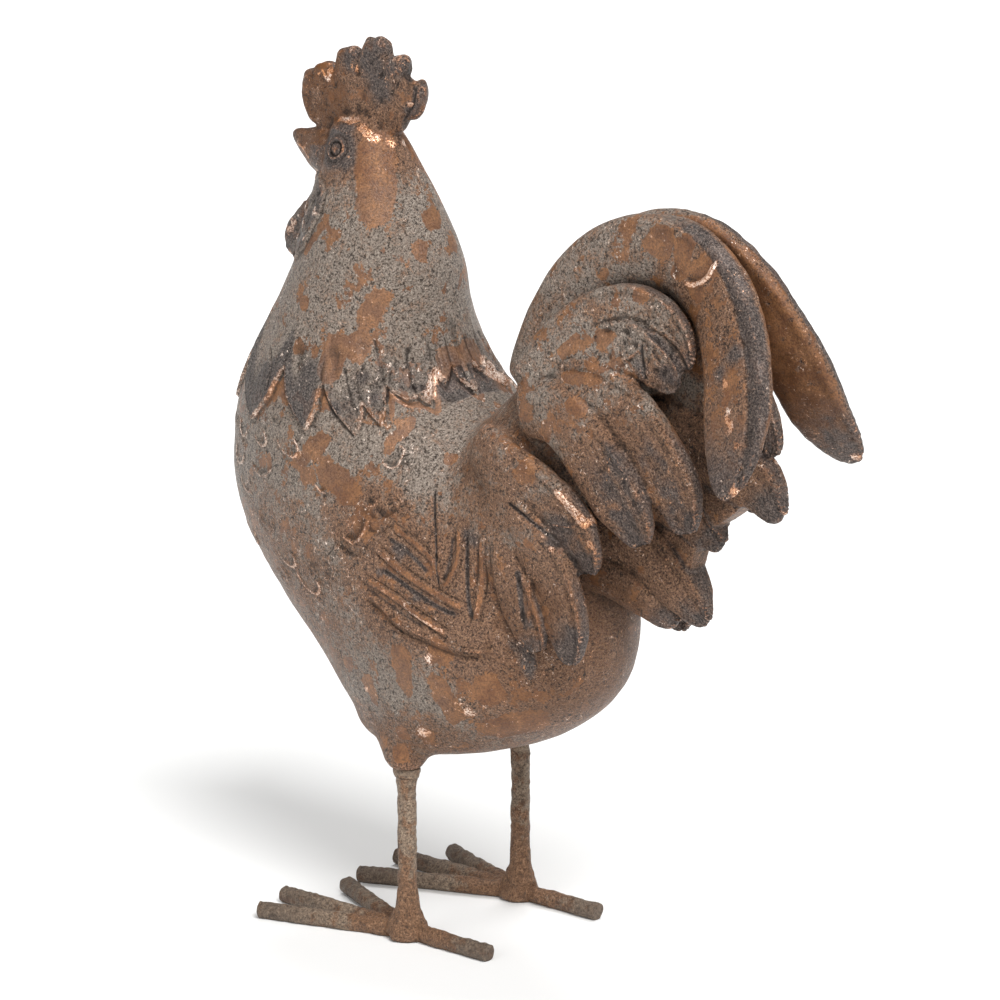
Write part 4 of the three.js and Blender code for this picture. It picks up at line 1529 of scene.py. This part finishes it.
@dataclass(frozen=True)
class LegAndFoot:
    """One leg bar and its four toe bars, rough and welded."""

    side: str
    spec: BarSpec = field(default_factory=BarSpec)
    toe_seed: int = 70
    seed_spread: int = 97

    def box(self, part: str) -> tuple[Points, Points]:
        """Return a CAD node's lowest and highest corner in millimetres."""
        low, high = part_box(f"{self.side}_{part}")
        return np.array(low) / MM, np.array(high) / MM

    def leg(self) -> bpy.types.Object:
        """Build the leg bar with its collar and its lumpy weld.

        Returns:
            The leg bar.
        """
        low, high = self.box("leg")
        middle = (low + high) / 2
        top = high[2] - 1.0
        spec = self.spec
        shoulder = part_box("rooster_cast")[0][2] / MM
        profile = [
            (spec.weld_radius - 2.5, 0.0),
            (spec.weld_radius - 0.6, 0.8),
            (spec.weld_radius, 3.0),
            (spec.weld_radius - 1.0, 8.0),
            (spec.leg_radius + 2.6, 14.0),
            (spec.leg_radius + 1.0, 19.0),
            (spec.leg_radius + 0.2, spec.weld_top + 2),
            (spec.leg_radius, spec.weld_top + 10),
            (spec.leg_radius, shoulder - spec.collar_height - 2),
            (spec.leg_radius + 1.2, shoulder - spec.collar_height * 0.6),
            (spec.collar_radius, shoulder - 2.5),
            (spec.collar_radius - 0.4, shoulder - 0.6),
            (spec.leg_radius, shoulder - 0.4),
            (spec.leg_radius, top),
        ]
        rows = catmull(np.array(profile), 150)
        rows[:, 1] = np.clip(rows[:, 1], 0.0, top)
        angle = np.linspace(0, 2 * math.pi, spec.leg_sides, endpoint=False)
        circle = np.column_stack([np.cos(angle), np.sin(angle)])
        grid = np.vstack(
            [np.column_stack([radius * circle, np.full(len(angle), height)]) for radius, height in rows]
        )
        outward = grid * np.array([1, 1, 0])
        outward /= np.linalg.norm(outward, axis=1)[:, None]
        seed = 51 if self.side == "left" else 61
        weld = 1 - smoothstep(12, 26, grid[:, 2])
        collar = smoothstep(shoulder - 16, shoulder - 6, grid[:, 2])
        lumps = 0.9 * lattice_noise(grid, 6.5, seed) * np.maximum(weld, 0.6 * collar)
        beads = 0.5 * lattice_noise(grid, 2.8, seed + 1) * np.maximum(weld, 0.7 * collar)
        rough = spec.rough * lattice_noise(grid, 2.2, seed + 2) + 0.55 * lattice_noise(grid, 7.0, seed + 3)
        grounded = smoothstep(0.0, 1.2, grid[:, 2])
        grid = grid + outward * ((lumps + beads + rough) * grounded)[:, None]
        weld = 1 - smoothstep(18, 60, grid[:, 2])
        standing = grid + np.array([middle[0], middle[1], 0.0])
        return self.finish("leg", standing, spec.leg_sides, weld, np.zeros_like(weld))

    def toe(self, name: str) -> bpy.types.Object:
        """Build one toe bar from its CAD box: a rough bar from the ankle out, with a cut end.

        Args:
            name: The node's name without its side.

        Returns:
            The toe bar.
        """
        leg_low, leg_high = self.box("leg")
        ankle = (leg_low + leg_high) / 2
        low, high = self.box(name)
        spec = self.spec
        outward = self.tip(name, low, high) - ankle[:2]
        length = float(np.linalg.norm(outward))
        heading = outward / length
        beside = np.array([-heading[1], heading[0]])
        start = spec.weld_radius - 5.5
        run = np.concatenate([np.linspace(start, length - 0.8, 90), [length - 0.3, length]])
        sides = spec.toe_sides
        angle = np.linspace(0, 2 * math.pi, sides, endpoint=False)
        rings = []
        for i, reach in enumerate(run):
            radius = spec.toe_radius * (0.9 if i == len(run) - 1 else 1.0)
            wide = radius * np.cos(angle)
            tall = np.maximum(radius * np.sin(angle), spec.toe_low)
            flat = ankle[:2] + heading * reach + wide[:, None] * beside
            rings.append(np.column_stack([flat, tall - spec.toe_low]))
        grid = np.vstack(rings)
        out = np.vstack([np.column_stack([np.cos(angle)[:, None] * beside, np.sin(angle)])] * len(run))
        seed = self.toe_seed + sum(map(ord, self.side + name)) % self.seed_spread
        rough = spec.rough * lattice_noise(grid, 2.2, seed) + 0.5 * lattice_noise(grid, 6.0, seed + 1)
        near = 1 - smoothstep(0.0, 14.0, np.repeat(run, sides) - spec.weld_radius)
        rough = rough + 0.8 * near * lattice_noise(grid, 4.0, seed + 2)
        grid = grid + out * (rough * smoothstep(0.0, 1.0, grid[:, 2]))[:, None]
        grid[:, 2] = np.maximum(grid[:, 2], 0.0)
        along = np.repeat(run, sides)
        weld = 1 - smoothstep(15, 45, along)
        return self.finish(name, grid, sides, weld, smoothstep(0.3 * length, length - 4, along))

    def tip(self, name: str, low: Points, high: Points) -> Points:
        """Find where a toe's middle line ends, from its box and the way it points.

        Args:
            name: The toe's node name without its side.
            low: The box's lowest corner.
            high: Its highest corner.

        Returns:
            The end's x and y.
        """
        leg_low, leg_high = self.box("leg")
        ankle = (leg_low + leg_high) / 2
        radius = self.spec.toe_radius
        if name == "back_toe":
            return np.array([ankle[0], high[1]])
        if name == "middle_toe":
            return np.array([ankle[0], low[1]])
        rightward = abs(high[0] - ankle[0]) > abs(low[0] - ankle[0])
        reach_x = (high[0] - ankle[0]) if rightward else (low[0] - ankle[0])
        reach_y = low[1] - ankle[1]
        slope = math.atan2(abs(reach_x) - radius, abs(reach_y))
        return np.array(
            [
                ankle[0] + reach_x - math.copysign(radius * math.cos(slope), reach_x),
                low[1] + radius * math.sin(slope),
            ]
        )

    def finish(self, part: str, grid: Points, sides: int, weld: Points, end: Points) -> bpy.types.Object:
        """Turn rings of points into a named object that replaces its CAD node.

        Args:
            part: The node's name without its side.
            grid: The rings' points in millimetres.
            sides: How many points a ring has.
            weld: How near the weld each point is, from 0 to 1.
            end: How near the bar's cut end each point is, from 0 to 1.

        Returns:
            The finished bar.
        """
        clay = Clay()
        clay.add([grid[i : i + sides] for i in range(0, len(grid), sides)])
        name = f"{self.side}_{part}"
        mesh = clay.mesh(f"{name}_bar")
        write_points(mesh, read_points(mesh) * MM)
        write_values(mesh, "weld", weld)
        write_values(mesh, "end", end)
        obj = new_object(f"{name}_bar", mesh)
        mesh.shade_smooth()
        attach(obj, "root")
        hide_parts(name)
        return obj


# Materials


def linear(code: str) -> tuple[float, float, float, float]:
    """Turn an sRGB hex colour into a linear colour with full alpha.

    Args:
        code: The colour, such as "#8E613D".

    Returns:
        Red, green, blue and alpha.
    """
    channels = [int(code[i : i + 2], 16) / 255 for i in (1, 3, 5)]
    flat = [c / 12.92 if c <= 0.04045 else ((c + 0.055) / 1.055) ** 2.4 for c in channels]
    return flat[0], flat[1], flat[2], 1.0


def add_node(
    tree: bpy.types.NodeTree, kind: str, settings: dict[str, object], links: dict[int | str, object]
) -> bpy.types.Node:
    """Add a node with its settings, socket values and links.

    Args:
        tree: The node tree.
        kind: The node's type name.
        settings: Node properties by name.
        links: By input name or number, an output socket to link or a value to set.

    Returns:
        The new node.
    """
    node = tree.nodes.new(kind)
    for key, value in settings.items():
        setattr(node, key, value)
    for key, value in links.items():
        if isinstance(value, bpy.types.NodeSocket):
            tree.links.new(value, node.inputs[key])
        else:
            node.inputs[key].default_value = value
    return node


@dataclass(frozen=True)
class ShaderBench:
    """A material's node tree with the few joins that every finish here uses."""

    tree: bpy.types.NodeTree

    def noise(self, where: Socket, size_mm: float, detail: float, rough: float = 0.5) -> Socket:
        """Add noise.

        Args:
            where: The place to read it.
            size_mm: Its grain in millimetres.
            detail: How many finer layers it has.
            rough: How strong they are.

        Returns:
            The noise, round 0.5.
        """
        links = {"Vector": where, "Scale": 1.0 / (size_mm * MM), "Detail": detail, "Roughness": rough}
        return add_node(self.tree, "ShaderNodeTexNoise", {}, links).outputs["Fac"]

    def ramp(self, value: Socket, low: float, high: float) -> Socket:
        """Map a value smoothly.

        Args:
            value: The value.
            low: What becomes 0.
            high: What becomes 1, which may be less than low.

        Returns:
            The mapped value.
        """
        settings = {"interpolation_type": "SMOOTHSTEP"}
        links = {"Value": value, "From Min": low, "From Max": high}
        return add_node(self.tree, "ShaderNodeMapRange", settings, links).outputs["Result"]

    def join(self, operation: str, first: Socket | float, second: Socket | float) -> Socket:
        """Return two values joined by a math operation, clamped to 0..1."""
        settings = {"operation": operation, "use_clamp": True}
        return add_node(self.tree, "ShaderNodeMath", settings, {0: first, 1: second}).outputs[0]

    def times(self, first: Socket | float, second: Socket | float) -> Socket:
        """Return the product."""
        return self.join("MULTIPLY", first, second)

    def plus(self, first: Socket | float, second: Socket | float) -> Socket:
        """Return the sum."""
        return self.join("ADD", first, second)

    def minus(self, first: Socket | float, second: Socket | float) -> Socket:
        """Return the first less the second."""
        return self.join("SUBTRACT", first, second)

    def larger(self, first: Socket | float, second: Socket | float) -> Socket:
        """Return the larger one."""
        return self.join("MAXIMUM", first, second)

    def mix(self, factor: Socket, first: object, second: object) -> Socket:
        """Return two colours mixed by a factor."""
        links = {0: factor, 6: first, 7: second}
        return add_node(self.tree, "ShaderNodeMix", {"data_type": "RGBA"}, links).outputs[2]

    def speckled(self, grain: Socket, tones: Tones) -> Socket:
        """Return a colour speckled from dark over middle to light by a fine noise."""
        lower = self.mix(self.ramp(grain, 0.38, 0.48), linear(tones[0]), linear(tones[1]))
        return self.mix(self.ramp(grain, 0.52, 0.63), lower, linear(tones[2]))

    def attribute(self, name: str) -> Socket:
        """Return a float attribute of the mesh."""
        return add_node(self.tree, "ShaderNodeAttribute", {"attribute_name": name}, {}).outputs["Fac"]

    def place(self) -> Socket:
        """Return the place in the object's own metres."""
        return add_node(self.tree, "ShaderNodeTexCoord", {}, {}).outputs["Object"]

    def bumped(self, rise: Socket, strength: Socket | float, depth: float) -> Socket:
        """Return the normal bent by a rise of the given depth in metres."""
        links = {"Height": rise, "Strength": strength, "Distance": depth}
        return add_node(self.tree, "ShaderNodeBump", {}, links).outputs["Normal"]

    def finish(self, links: dict[int | str, object]) -> None:
        """Close the tree with a shader that has the given inputs."""
        shader = add_node(self.tree, "ShaderNodeBsdfPrincipled", {}, links)
        add_node(self.tree, "ShaderNodeOutputMaterial", {}, {"Surface": shader.outputs[0]})


def bare_material(name: str) -> tuple[bpy.types.Material, ShaderBench]:
    """Make a material with an empty node tree.

    Args:
        name: The material's name.

    Returns:
        The material, and the bench to build its tree on.
    """
    made = bpy.data.materials.new(name)
    made.use_nodes = True
    made.node_tree.nodes.clear()
    return made, ShaderBench(made.node_tree)


@dataclass(frozen=True)
class PaintSource:
    """What the cast's paint reads: the carving's channels and the noises that break them up."""

    patina: Socket
    copper_and_highlight: Socket
    brown: Socket
    rust: Socket
    shade_and_pupil: Socket
    bend: Socket
    valley: Socket
    grain: Socket
    ragged: Socket
    mottle: Socket
    cratered: Socket
    flecks: Socket
    sparkle_zones: Socket
    loose: Socket


@dataclass(frozen=True)
class AgedMetalPaint:
    """Resin cast, stippled with grey metallic paint over brown, then rubbed back.

    The stipple is finely speckled, light on its grains and near black in its pits. Flat patches of
    smooth rust brown lie in the grey, a blue-black wash sits on tips and in hollows, and rubbed
    edges show copper powder. Painted highlights, near white on the grey and warm on the brown, lie
    on those edges and in small sparkles, and cuts, grooves and crevices are darkened with painted shade.
    """

    grey: Tones = ("#4A3F36", "#83766B", "#A3978B")
    brown: Tones = ("#422D20", "#755642", "#9B785D")
    wash: Tones = ("#1F1B1B", "#48413F", "#746A64")
    rust_light: str = "#8E613D"
    rust_dark: str = "#6D4428"
    glaze: str = "#5F3A1B"
    # The dark of the painted shade in cuts and crevices, also used for the pupil.
    shade: str = "#180F09"
    pit: str = "#2E231C"
    # The colours of the painted highlights on copper: near white on the grey, warm on the brown.
    copper_and_highlight: str = "#FBE6D6"
    warm_copper_highlight: str = "#EBA673"
    copper_base: str = "#915B36"
    grain_mm: float = 1.0
    pit_mm: float = 2.2
    patch_mm: float = 9.0
    # The reach and rays of the painted crevice shade.
    crevice_mm: float = 18.0
    crevice_rays: int = 8
    bump_depth: float = 0.0017

    def source(self, bench: ShaderBench) -> PaintSource:
        """Read the channels and set up the noises.

        Args:
            bench: The material's bench.

        Returns:
            All that the coats read.
        """
        where = bench.place()
        ragged = bench.noise(where, 2.0, 3.5, 0.68)
        mottle = bench.noise(where, self.patch_mm, 4.0, 0.62)
        return PaintSource(
            *(bench.attribute(channel.value) for channel in Channel),
            bend=bench.attribute("bend"),
            valley=bench.attribute("valley"),
            grain=bench.noise(where, self.grain_mm, 2.5, 0.7),
            ragged=ragged,
            mottle=mottle,
            cratered=bench.noise(where, self.pit_mm, 3.0, 0.75),
            flecks=bench.plus(bench.times(ragged, 0.55), bench.times(mottle, 0.6)),
            # Where the small painted sparkles may show.
            sparkle_zones=bench.ramp(bench.noise(where, 26.0, 4.0, 0.65), 0.49, 0.58),
            loose=bench.ramp(bench.noise(where, 15.0, 5.0, 0.7), 0.575, 0.595),
        )

    def coat(self, bench: ShaderBench, seen: PaintSource) -> tuple[Socket, Socket, Socket]:
        """Lay the speckled grey and brown, the flat rust patches and the comb's glaze.

        Args:
            bench: The material's bench.
            seen: What the paint reads.

        Returns:
            The colour, the rust patches and the pits.
        """
        grey = bench.speckled(seen.grain, self.grey)
        browned = bench.speckled(seen.grain, self.brown)
        toned = bench.ramp(bench.plus(bench.times(seen.brown, 0.4), seen.flecks), 0.56, 0.82)
        base = bench.mix(toned, grey, browned)
        drift = bench.times(bench.plus(seen.flecks, -0.575), 1.4)
        patch = bench.larger(bench.ramp(bench.plus(seen.rust, drift), 0.48, 0.53), seen.loose)
        flat = bench.mix(
            bench.ramp(seen.mottle, 0.35, 0.65), linear(self.rust_dark), linear(self.rust_light)
        )
        speck = bench.times(bench.ramp(seen.grain, 0.58, 0.42), 0.45)
        flat = bench.mix(speck, flat, linear(self.brown[0]))
        base = bench.mix(bench.times(patch, 0.85), base, flat)
        glazed = bench.times(bench.ramp(seen.brown, 0.9, 1.0), bench.ramp(seen.mottle, 0.3, 0.55))
        base = bench.mix(bench.times(glazed, 0.75), base, linear(self.glaze))
        pits = bench.ramp(seen.cratered, 0.57, 0.65)
        holes = bench.times(pits, bench.minus(0.9, bench.times(patch, 0.5)))
        return bench.mix(holes, base, linear(self.pit)), patch, pits

    def darkened(self, bench: ShaderBench, seen: PaintSource, base: Socket) -> tuple[Socket, Socket]:
        """Wash the tips and hollows blue-black, darken cuts and crevices with painted shade, and darken the
        pupil.

        Args:
            bench: The material's bench.
            seen: What the paint reads.
            base: The colour so far.

        Returns:
            The colour, and how hidden each place is.
        """
        wash = bench.ramp(bench.plus(seen.patina, bench.times(seen.flecks, 0.4)), 0.42, 0.95)
        base = bench.mix(bench.times(wash, 0.85), base, bench.speckled(seen.grain, self.wash))
        # Painted shade in concave bends, cuts and grooves, with the dark pupil.
        sunk = bench.larger(bench.ramp(seen.bend, 0.04, 0.4), bench.times(seen.shade_and_pupil, 0.75))
        base = bench.mix(bench.times(sunk, 0.7), base, linear(self.shade))
        # Painted shade in crevices, from the occlusion node and the valley attribute.
        rays, distance = {"samples": self.crevice_rays}, {"Distance": self.crevice_mm * MM}
        open_air = add_node(bench.tree, "ShaderNodeAmbientOcclusion", rays, distance).outputs["AO"]
        crevice = bench.larger(bench.ramp(open_air, 0.66, 0.08), bench.ramp(seen.valley, 1.5, 4.8))
        base = bench.mix(bench.times(crevice, 0.85), base, linear(self.shade))
        return base, bench.larger(crevice, sunk)

    def rubbed(self, bench: ShaderBench, seen: PaintSource, base: Socket) -> tuple[Socket, Socket]:
        """Show worn copper on rubbed edges, with painted highlights on them and in small sparkles.

        Args:
            bench: The material's bench.
            seen: What the paint reads.
            base: The colour so far.

        Returns:
            The colour, and where the painted highlights show.
        """
        # Convex edges get worn copper and painted highlights.
        edges = bench.times(bench.ramp(seen.bend, -0.12, -0.5), 0.36)
        spread = bench.plus(bench.larger(edges, seen.copper_and_highlight), bench.times(seen.ragged, 0.8))
        # The painted highlight, broken up by the grain.
        glint = bench.times(bench.ramp(spread, 0.74, 1.02), bench.ramp(seen.grain, 0.42, 0.56))
        # Small painted sparkles.
        painted_sparkles = bench.times(bench.ramp(seen.cratered, 0.375, 0.345), seen.sparkle_zones)
        glint = bench.larger(glint, bench.times(painted_sparkles, 0.8))
        worn = bench.ramp(spread, 0.64, 0.95)
        base = bench.mix(bench.times(worn, 0.65), base, linear(self.copper_base))
        # The painted highlight's colour, warmer on brown and rust.
        warmth = bench.times(bench.larger(seen.brown, seen.rust), bench.ramp(seen.mottle, 0.35, 0.6))
        highlight_colour = bench.mix(warmth, linear(self.copper_and_highlight), linear(self.warm_copper_highlight))
        return bench.mix(glint, base, highlight_colour), glint

    def material(self) -> bpy.types.Material:
        """Build the paint.

        Returns:
            The material, which reads the cast's paint channels.
        """
        made, bench = bare_material("aged_metal_paint_on_resin")
        seen = self.source(bench)
        base, patch, pits = self.coat(bench, seen)
        base, hidden = self.darkened(bench, seen, base)
        base, glint = self.rubbed(bench, seen, base)
        flake = bench.times(bench.ramp(seen.grain, 0.5, 0.62), 0.22)
        span = {"Value": glint, "To Min": 0.46, "To Max": 0.22}
        gloss = add_node(bench.tree, "ShaderNodeMapRange", {}, span).outputs["Result"]
        rise = bench.minus(bench.plus(seen.grain, 0.2), bench.times(pits, 0.3))
        normal = bench.bumped(rise, bench.minus(0.95, bench.times(patch, 0.6)), self.bump_depth)
        bench.finish(
            {
                "Base Color": base,
                "Metallic": bench.larger(bench.times(glint, 0.7), flake),
                "Roughness": gloss,
                "Specular IOR Level": 0.28,
                "Coat Weight": bench.times(bench.minus(1.0, hidden), 0.16),
                "Coat Roughness": 0.22,
                "Coat Normal": normal,
                "Normal": normal,
            }
        )
        return made


@dataclass(frozen=True)
class RustyBar:
    """Mild steel bar, hot rolled and arc welded, under a thin brown rust.

    It is matt and rough, warm grey where rubbed, rust brown round the weld, darker towards the cut
    ends and near black in its pits.
    """

    steel: Tones = ("#56483C", "#8F7A66", "#B09B85")
    rust: Tones = ("#4B3324", "#7F5D43", "#A37E60")
    dark: str = "#3A302A"
    grain_mm: float = 1.0
    patch_mm: float = 7.0
    pit_mm: float = 2.0
    bump_depth: float = 0.0016

    def material(self) -> bpy.types.Material:
        """Build the rusty steel.

        Returns:
            The material, which reads how near the weld and the cut end a place is.
        """
        made, bench = bare_material("rusty_mild_steel_bar")
        where = bench.place()
        weld = bench.attribute("weld")
        grain = bench.noise(where, self.grain_mm, 3.0, 0.7)
        patch = bench.noise(where, self.patch_mm, 4.0, 0.65)
        pits = bench.ramp(bench.noise(where, self.pit_mm, 3.0, 0.75), 0.57, 0.66)
        rusted = bench.ramp(bench.plus(patch, bench.times(weld, 0.3)), 0.5, 0.68)
        base = bench.mix(rusted, bench.speckled(grain, self.steel), bench.speckled(grain, self.rust))
        base = bench.mix(bench.times(pits, 0.8), base, linear(self.dark))
        ends = bench.times(bench.attribute("end"), 0.5)
        base = bench.mix(ends, base, linear(self.dark))
        rise = bench.minus(bench.plus(grain, 0.2), bench.times(pits, 0.5))
        normal = bench.bumped(rise, 0.95, self.bump_depth)
        bench.finish({"Base Color": base, "Metallic": 0.1, "Roughness": 0.5, "Normal": normal})
        return made


@dataclass(frozen=True)
class StudioPaper:
    """Matt white background paper, a little off pure white so that shadows read softly."""

    tone: str = "#E9E9E8"
    rough: float = 0.9

    def material(self) -> bpy.types.Material:
        """Build the paper.

        Returns:
            The plain material.
        """
        made = bpy.data.materials.new("studio_paper")
        made.use_nodes = True
        shader = made.node_tree.nodes["Principled BSDF"]
        shader.inputs["Base Color"].default_value = linear(self.tone)
        shader.inputs["Roughness"].default_value = self.rough
        return made


# The studio


@dataclass(frozen=True)
class Sun:
    """One soft light: its angle from the camera, its elevation, its softness and its strength."""

    name: str
    turn: float
    elevation: float
    softness: float
    strength: float


@dataclass(frozen=True)
class Studio:
    """The floor, the lights and the camera at the photograph's angle.

    The aim is the frame's centre, given from the middle of the ankles on the ground.
    """

    placement: Placement
    azimuth: float = 132.0
    elevation: float = 14.5
    distance: float = 3.0
    aim_mm: tuple[float, float, float] = (-22.2, 5.5, 221.1)
    lens: float = 210.6
    sensor: float = 36.0
    floor_size: float = 30.0
    air_strength: float = 0.26
    suns: tuple[Sun, ...] = (
        Sun("key_light", 22, 50.0, 30.0, 3.6),
        Sun("fill_light", -44, 30.0, 36.0, 0.65),
        Sun("top_light", 165, 66.0, 26.0, 1.5),
    )

    def build(self) -> None:
        """Set up the floor, the lights and the camera."""
        self.floor()
        self.lights()
        self.camera()

    def floor(self) -> None:
        """Lay the pale floor at the feet's height."""
        half = self.floor_size / 2
        mesh = bpy.data.meshes.new("studio_floor")
        corners = [(-half, -half, 0), (half, -half, 0), (half, half, 0), (-half, half, 0)]
        mesh.from_pydata(corners, [], [(0, 1, 2, 3)])
        obj = new_object("studio_floor", mesh)
        mesh.materials.append(StudioPaper().material())

    def aim(self) -> Vector:
        """Return the camera's target in the frame's metres."""
        return Vector((self.aim_mm[0], self.aim_mm[1] + self.placement.legs_y, self.aim_mm[2])) * MM

    def towards(self, azimuth: float, elevation: float) -> Vector:
        """Return the direction from the target to a place at the given angles."""
        turn, rise = math.radians(azimuth), math.radians(elevation)
        return Vector((math.sin(turn) * math.cos(rise), -math.cos(turn) * math.cos(rise), math.sin(rise)))

    def aimed(self, data: bpy.types.ID, azimuth: float, elevation: float) -> bpy.types.Object:
        """Put a light or a camera where it looks at the target.

        Args:
            data: The light or the camera.
            azimuth: Its angle round the target, in degrees.
            elevation: Its angle above the ground.

        Returns:
            The object that carries it.
        """
        obj = new_object(data.name, data)
        back = self.towards(azimuth, elevation)
        obj.location = self.aim() + back * self.distance
        obj.rotation_euler = back.to_track_quat("Z", "Y").to_euler()
        return obj

    def lights(self) -> None:
        """Light the statue with a big soft key, a fill and a top light in a pale room."""
        world = bpy.data.worlds.new("studio_air")
        world.use_nodes = True
        air = world.node_tree.nodes["Background"]
        air.inputs["Color"].default_value = (1, 1, 1, 1)
        air.inputs["Strength"].default_value = self.air_strength
        bpy.context.scene.world = world
        bpy.context.scene.view_settings.view_transform = "Standard"
        for sun in self.suns:
            lamp = bpy.data.lights.new(sun.name, "SUN")
            lamp.angle = math.radians(sun.softness)
            lamp.energy = sun.strength
            self.aimed(lamp, self.azimuth + sun.turn, sun.elevation)

    def camera(self) -> None:
        """Place the camera at the photograph's viewing angle."""
        lens = bpy.data.cameras.new("photo_camera")
        lens.lens = self.lens
        lens.sensor_width = self.sensor
        lens.clip_end = 100
        bpy.context.scene.camera = self.aimed(lens, self.azimuth, self.elevation)


def main() -> None:
    """Build the studio, the cast and the bars, and report each piece."""
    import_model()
    placement = Placement.from_frame()
    Studio(placement).build()
    cast = Cast(placement).build()
    cast.data.materials.clear()
    cast.data.materials.append(AgedMetalPaint().material())
    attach(cast, "root")
    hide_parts("rooster_cast")
    LOG.info("cast: %d faces", len(cast.data.polygons))
    bar_finish = RustyBar().material()
    for side in ("left", "right"):
        limb = LegAndFoot(side)
        bars = [limb.leg()]
        bars += [limb.toe(name) for name in ("outer_toe", "middle_toe", "inner_toe", "back_toe")]
        for bar in bars:
            bar.data.materials.append(bar_finish)
            LOG.info("%s: %d faces", bar.name, len(bar.data.polygons))
    bpy.context.view_layer.update()


if __name__ == "__main__":
    logging.basicConfig(level=logging.INFO, format="%(name)s: %(message)s")
    main()
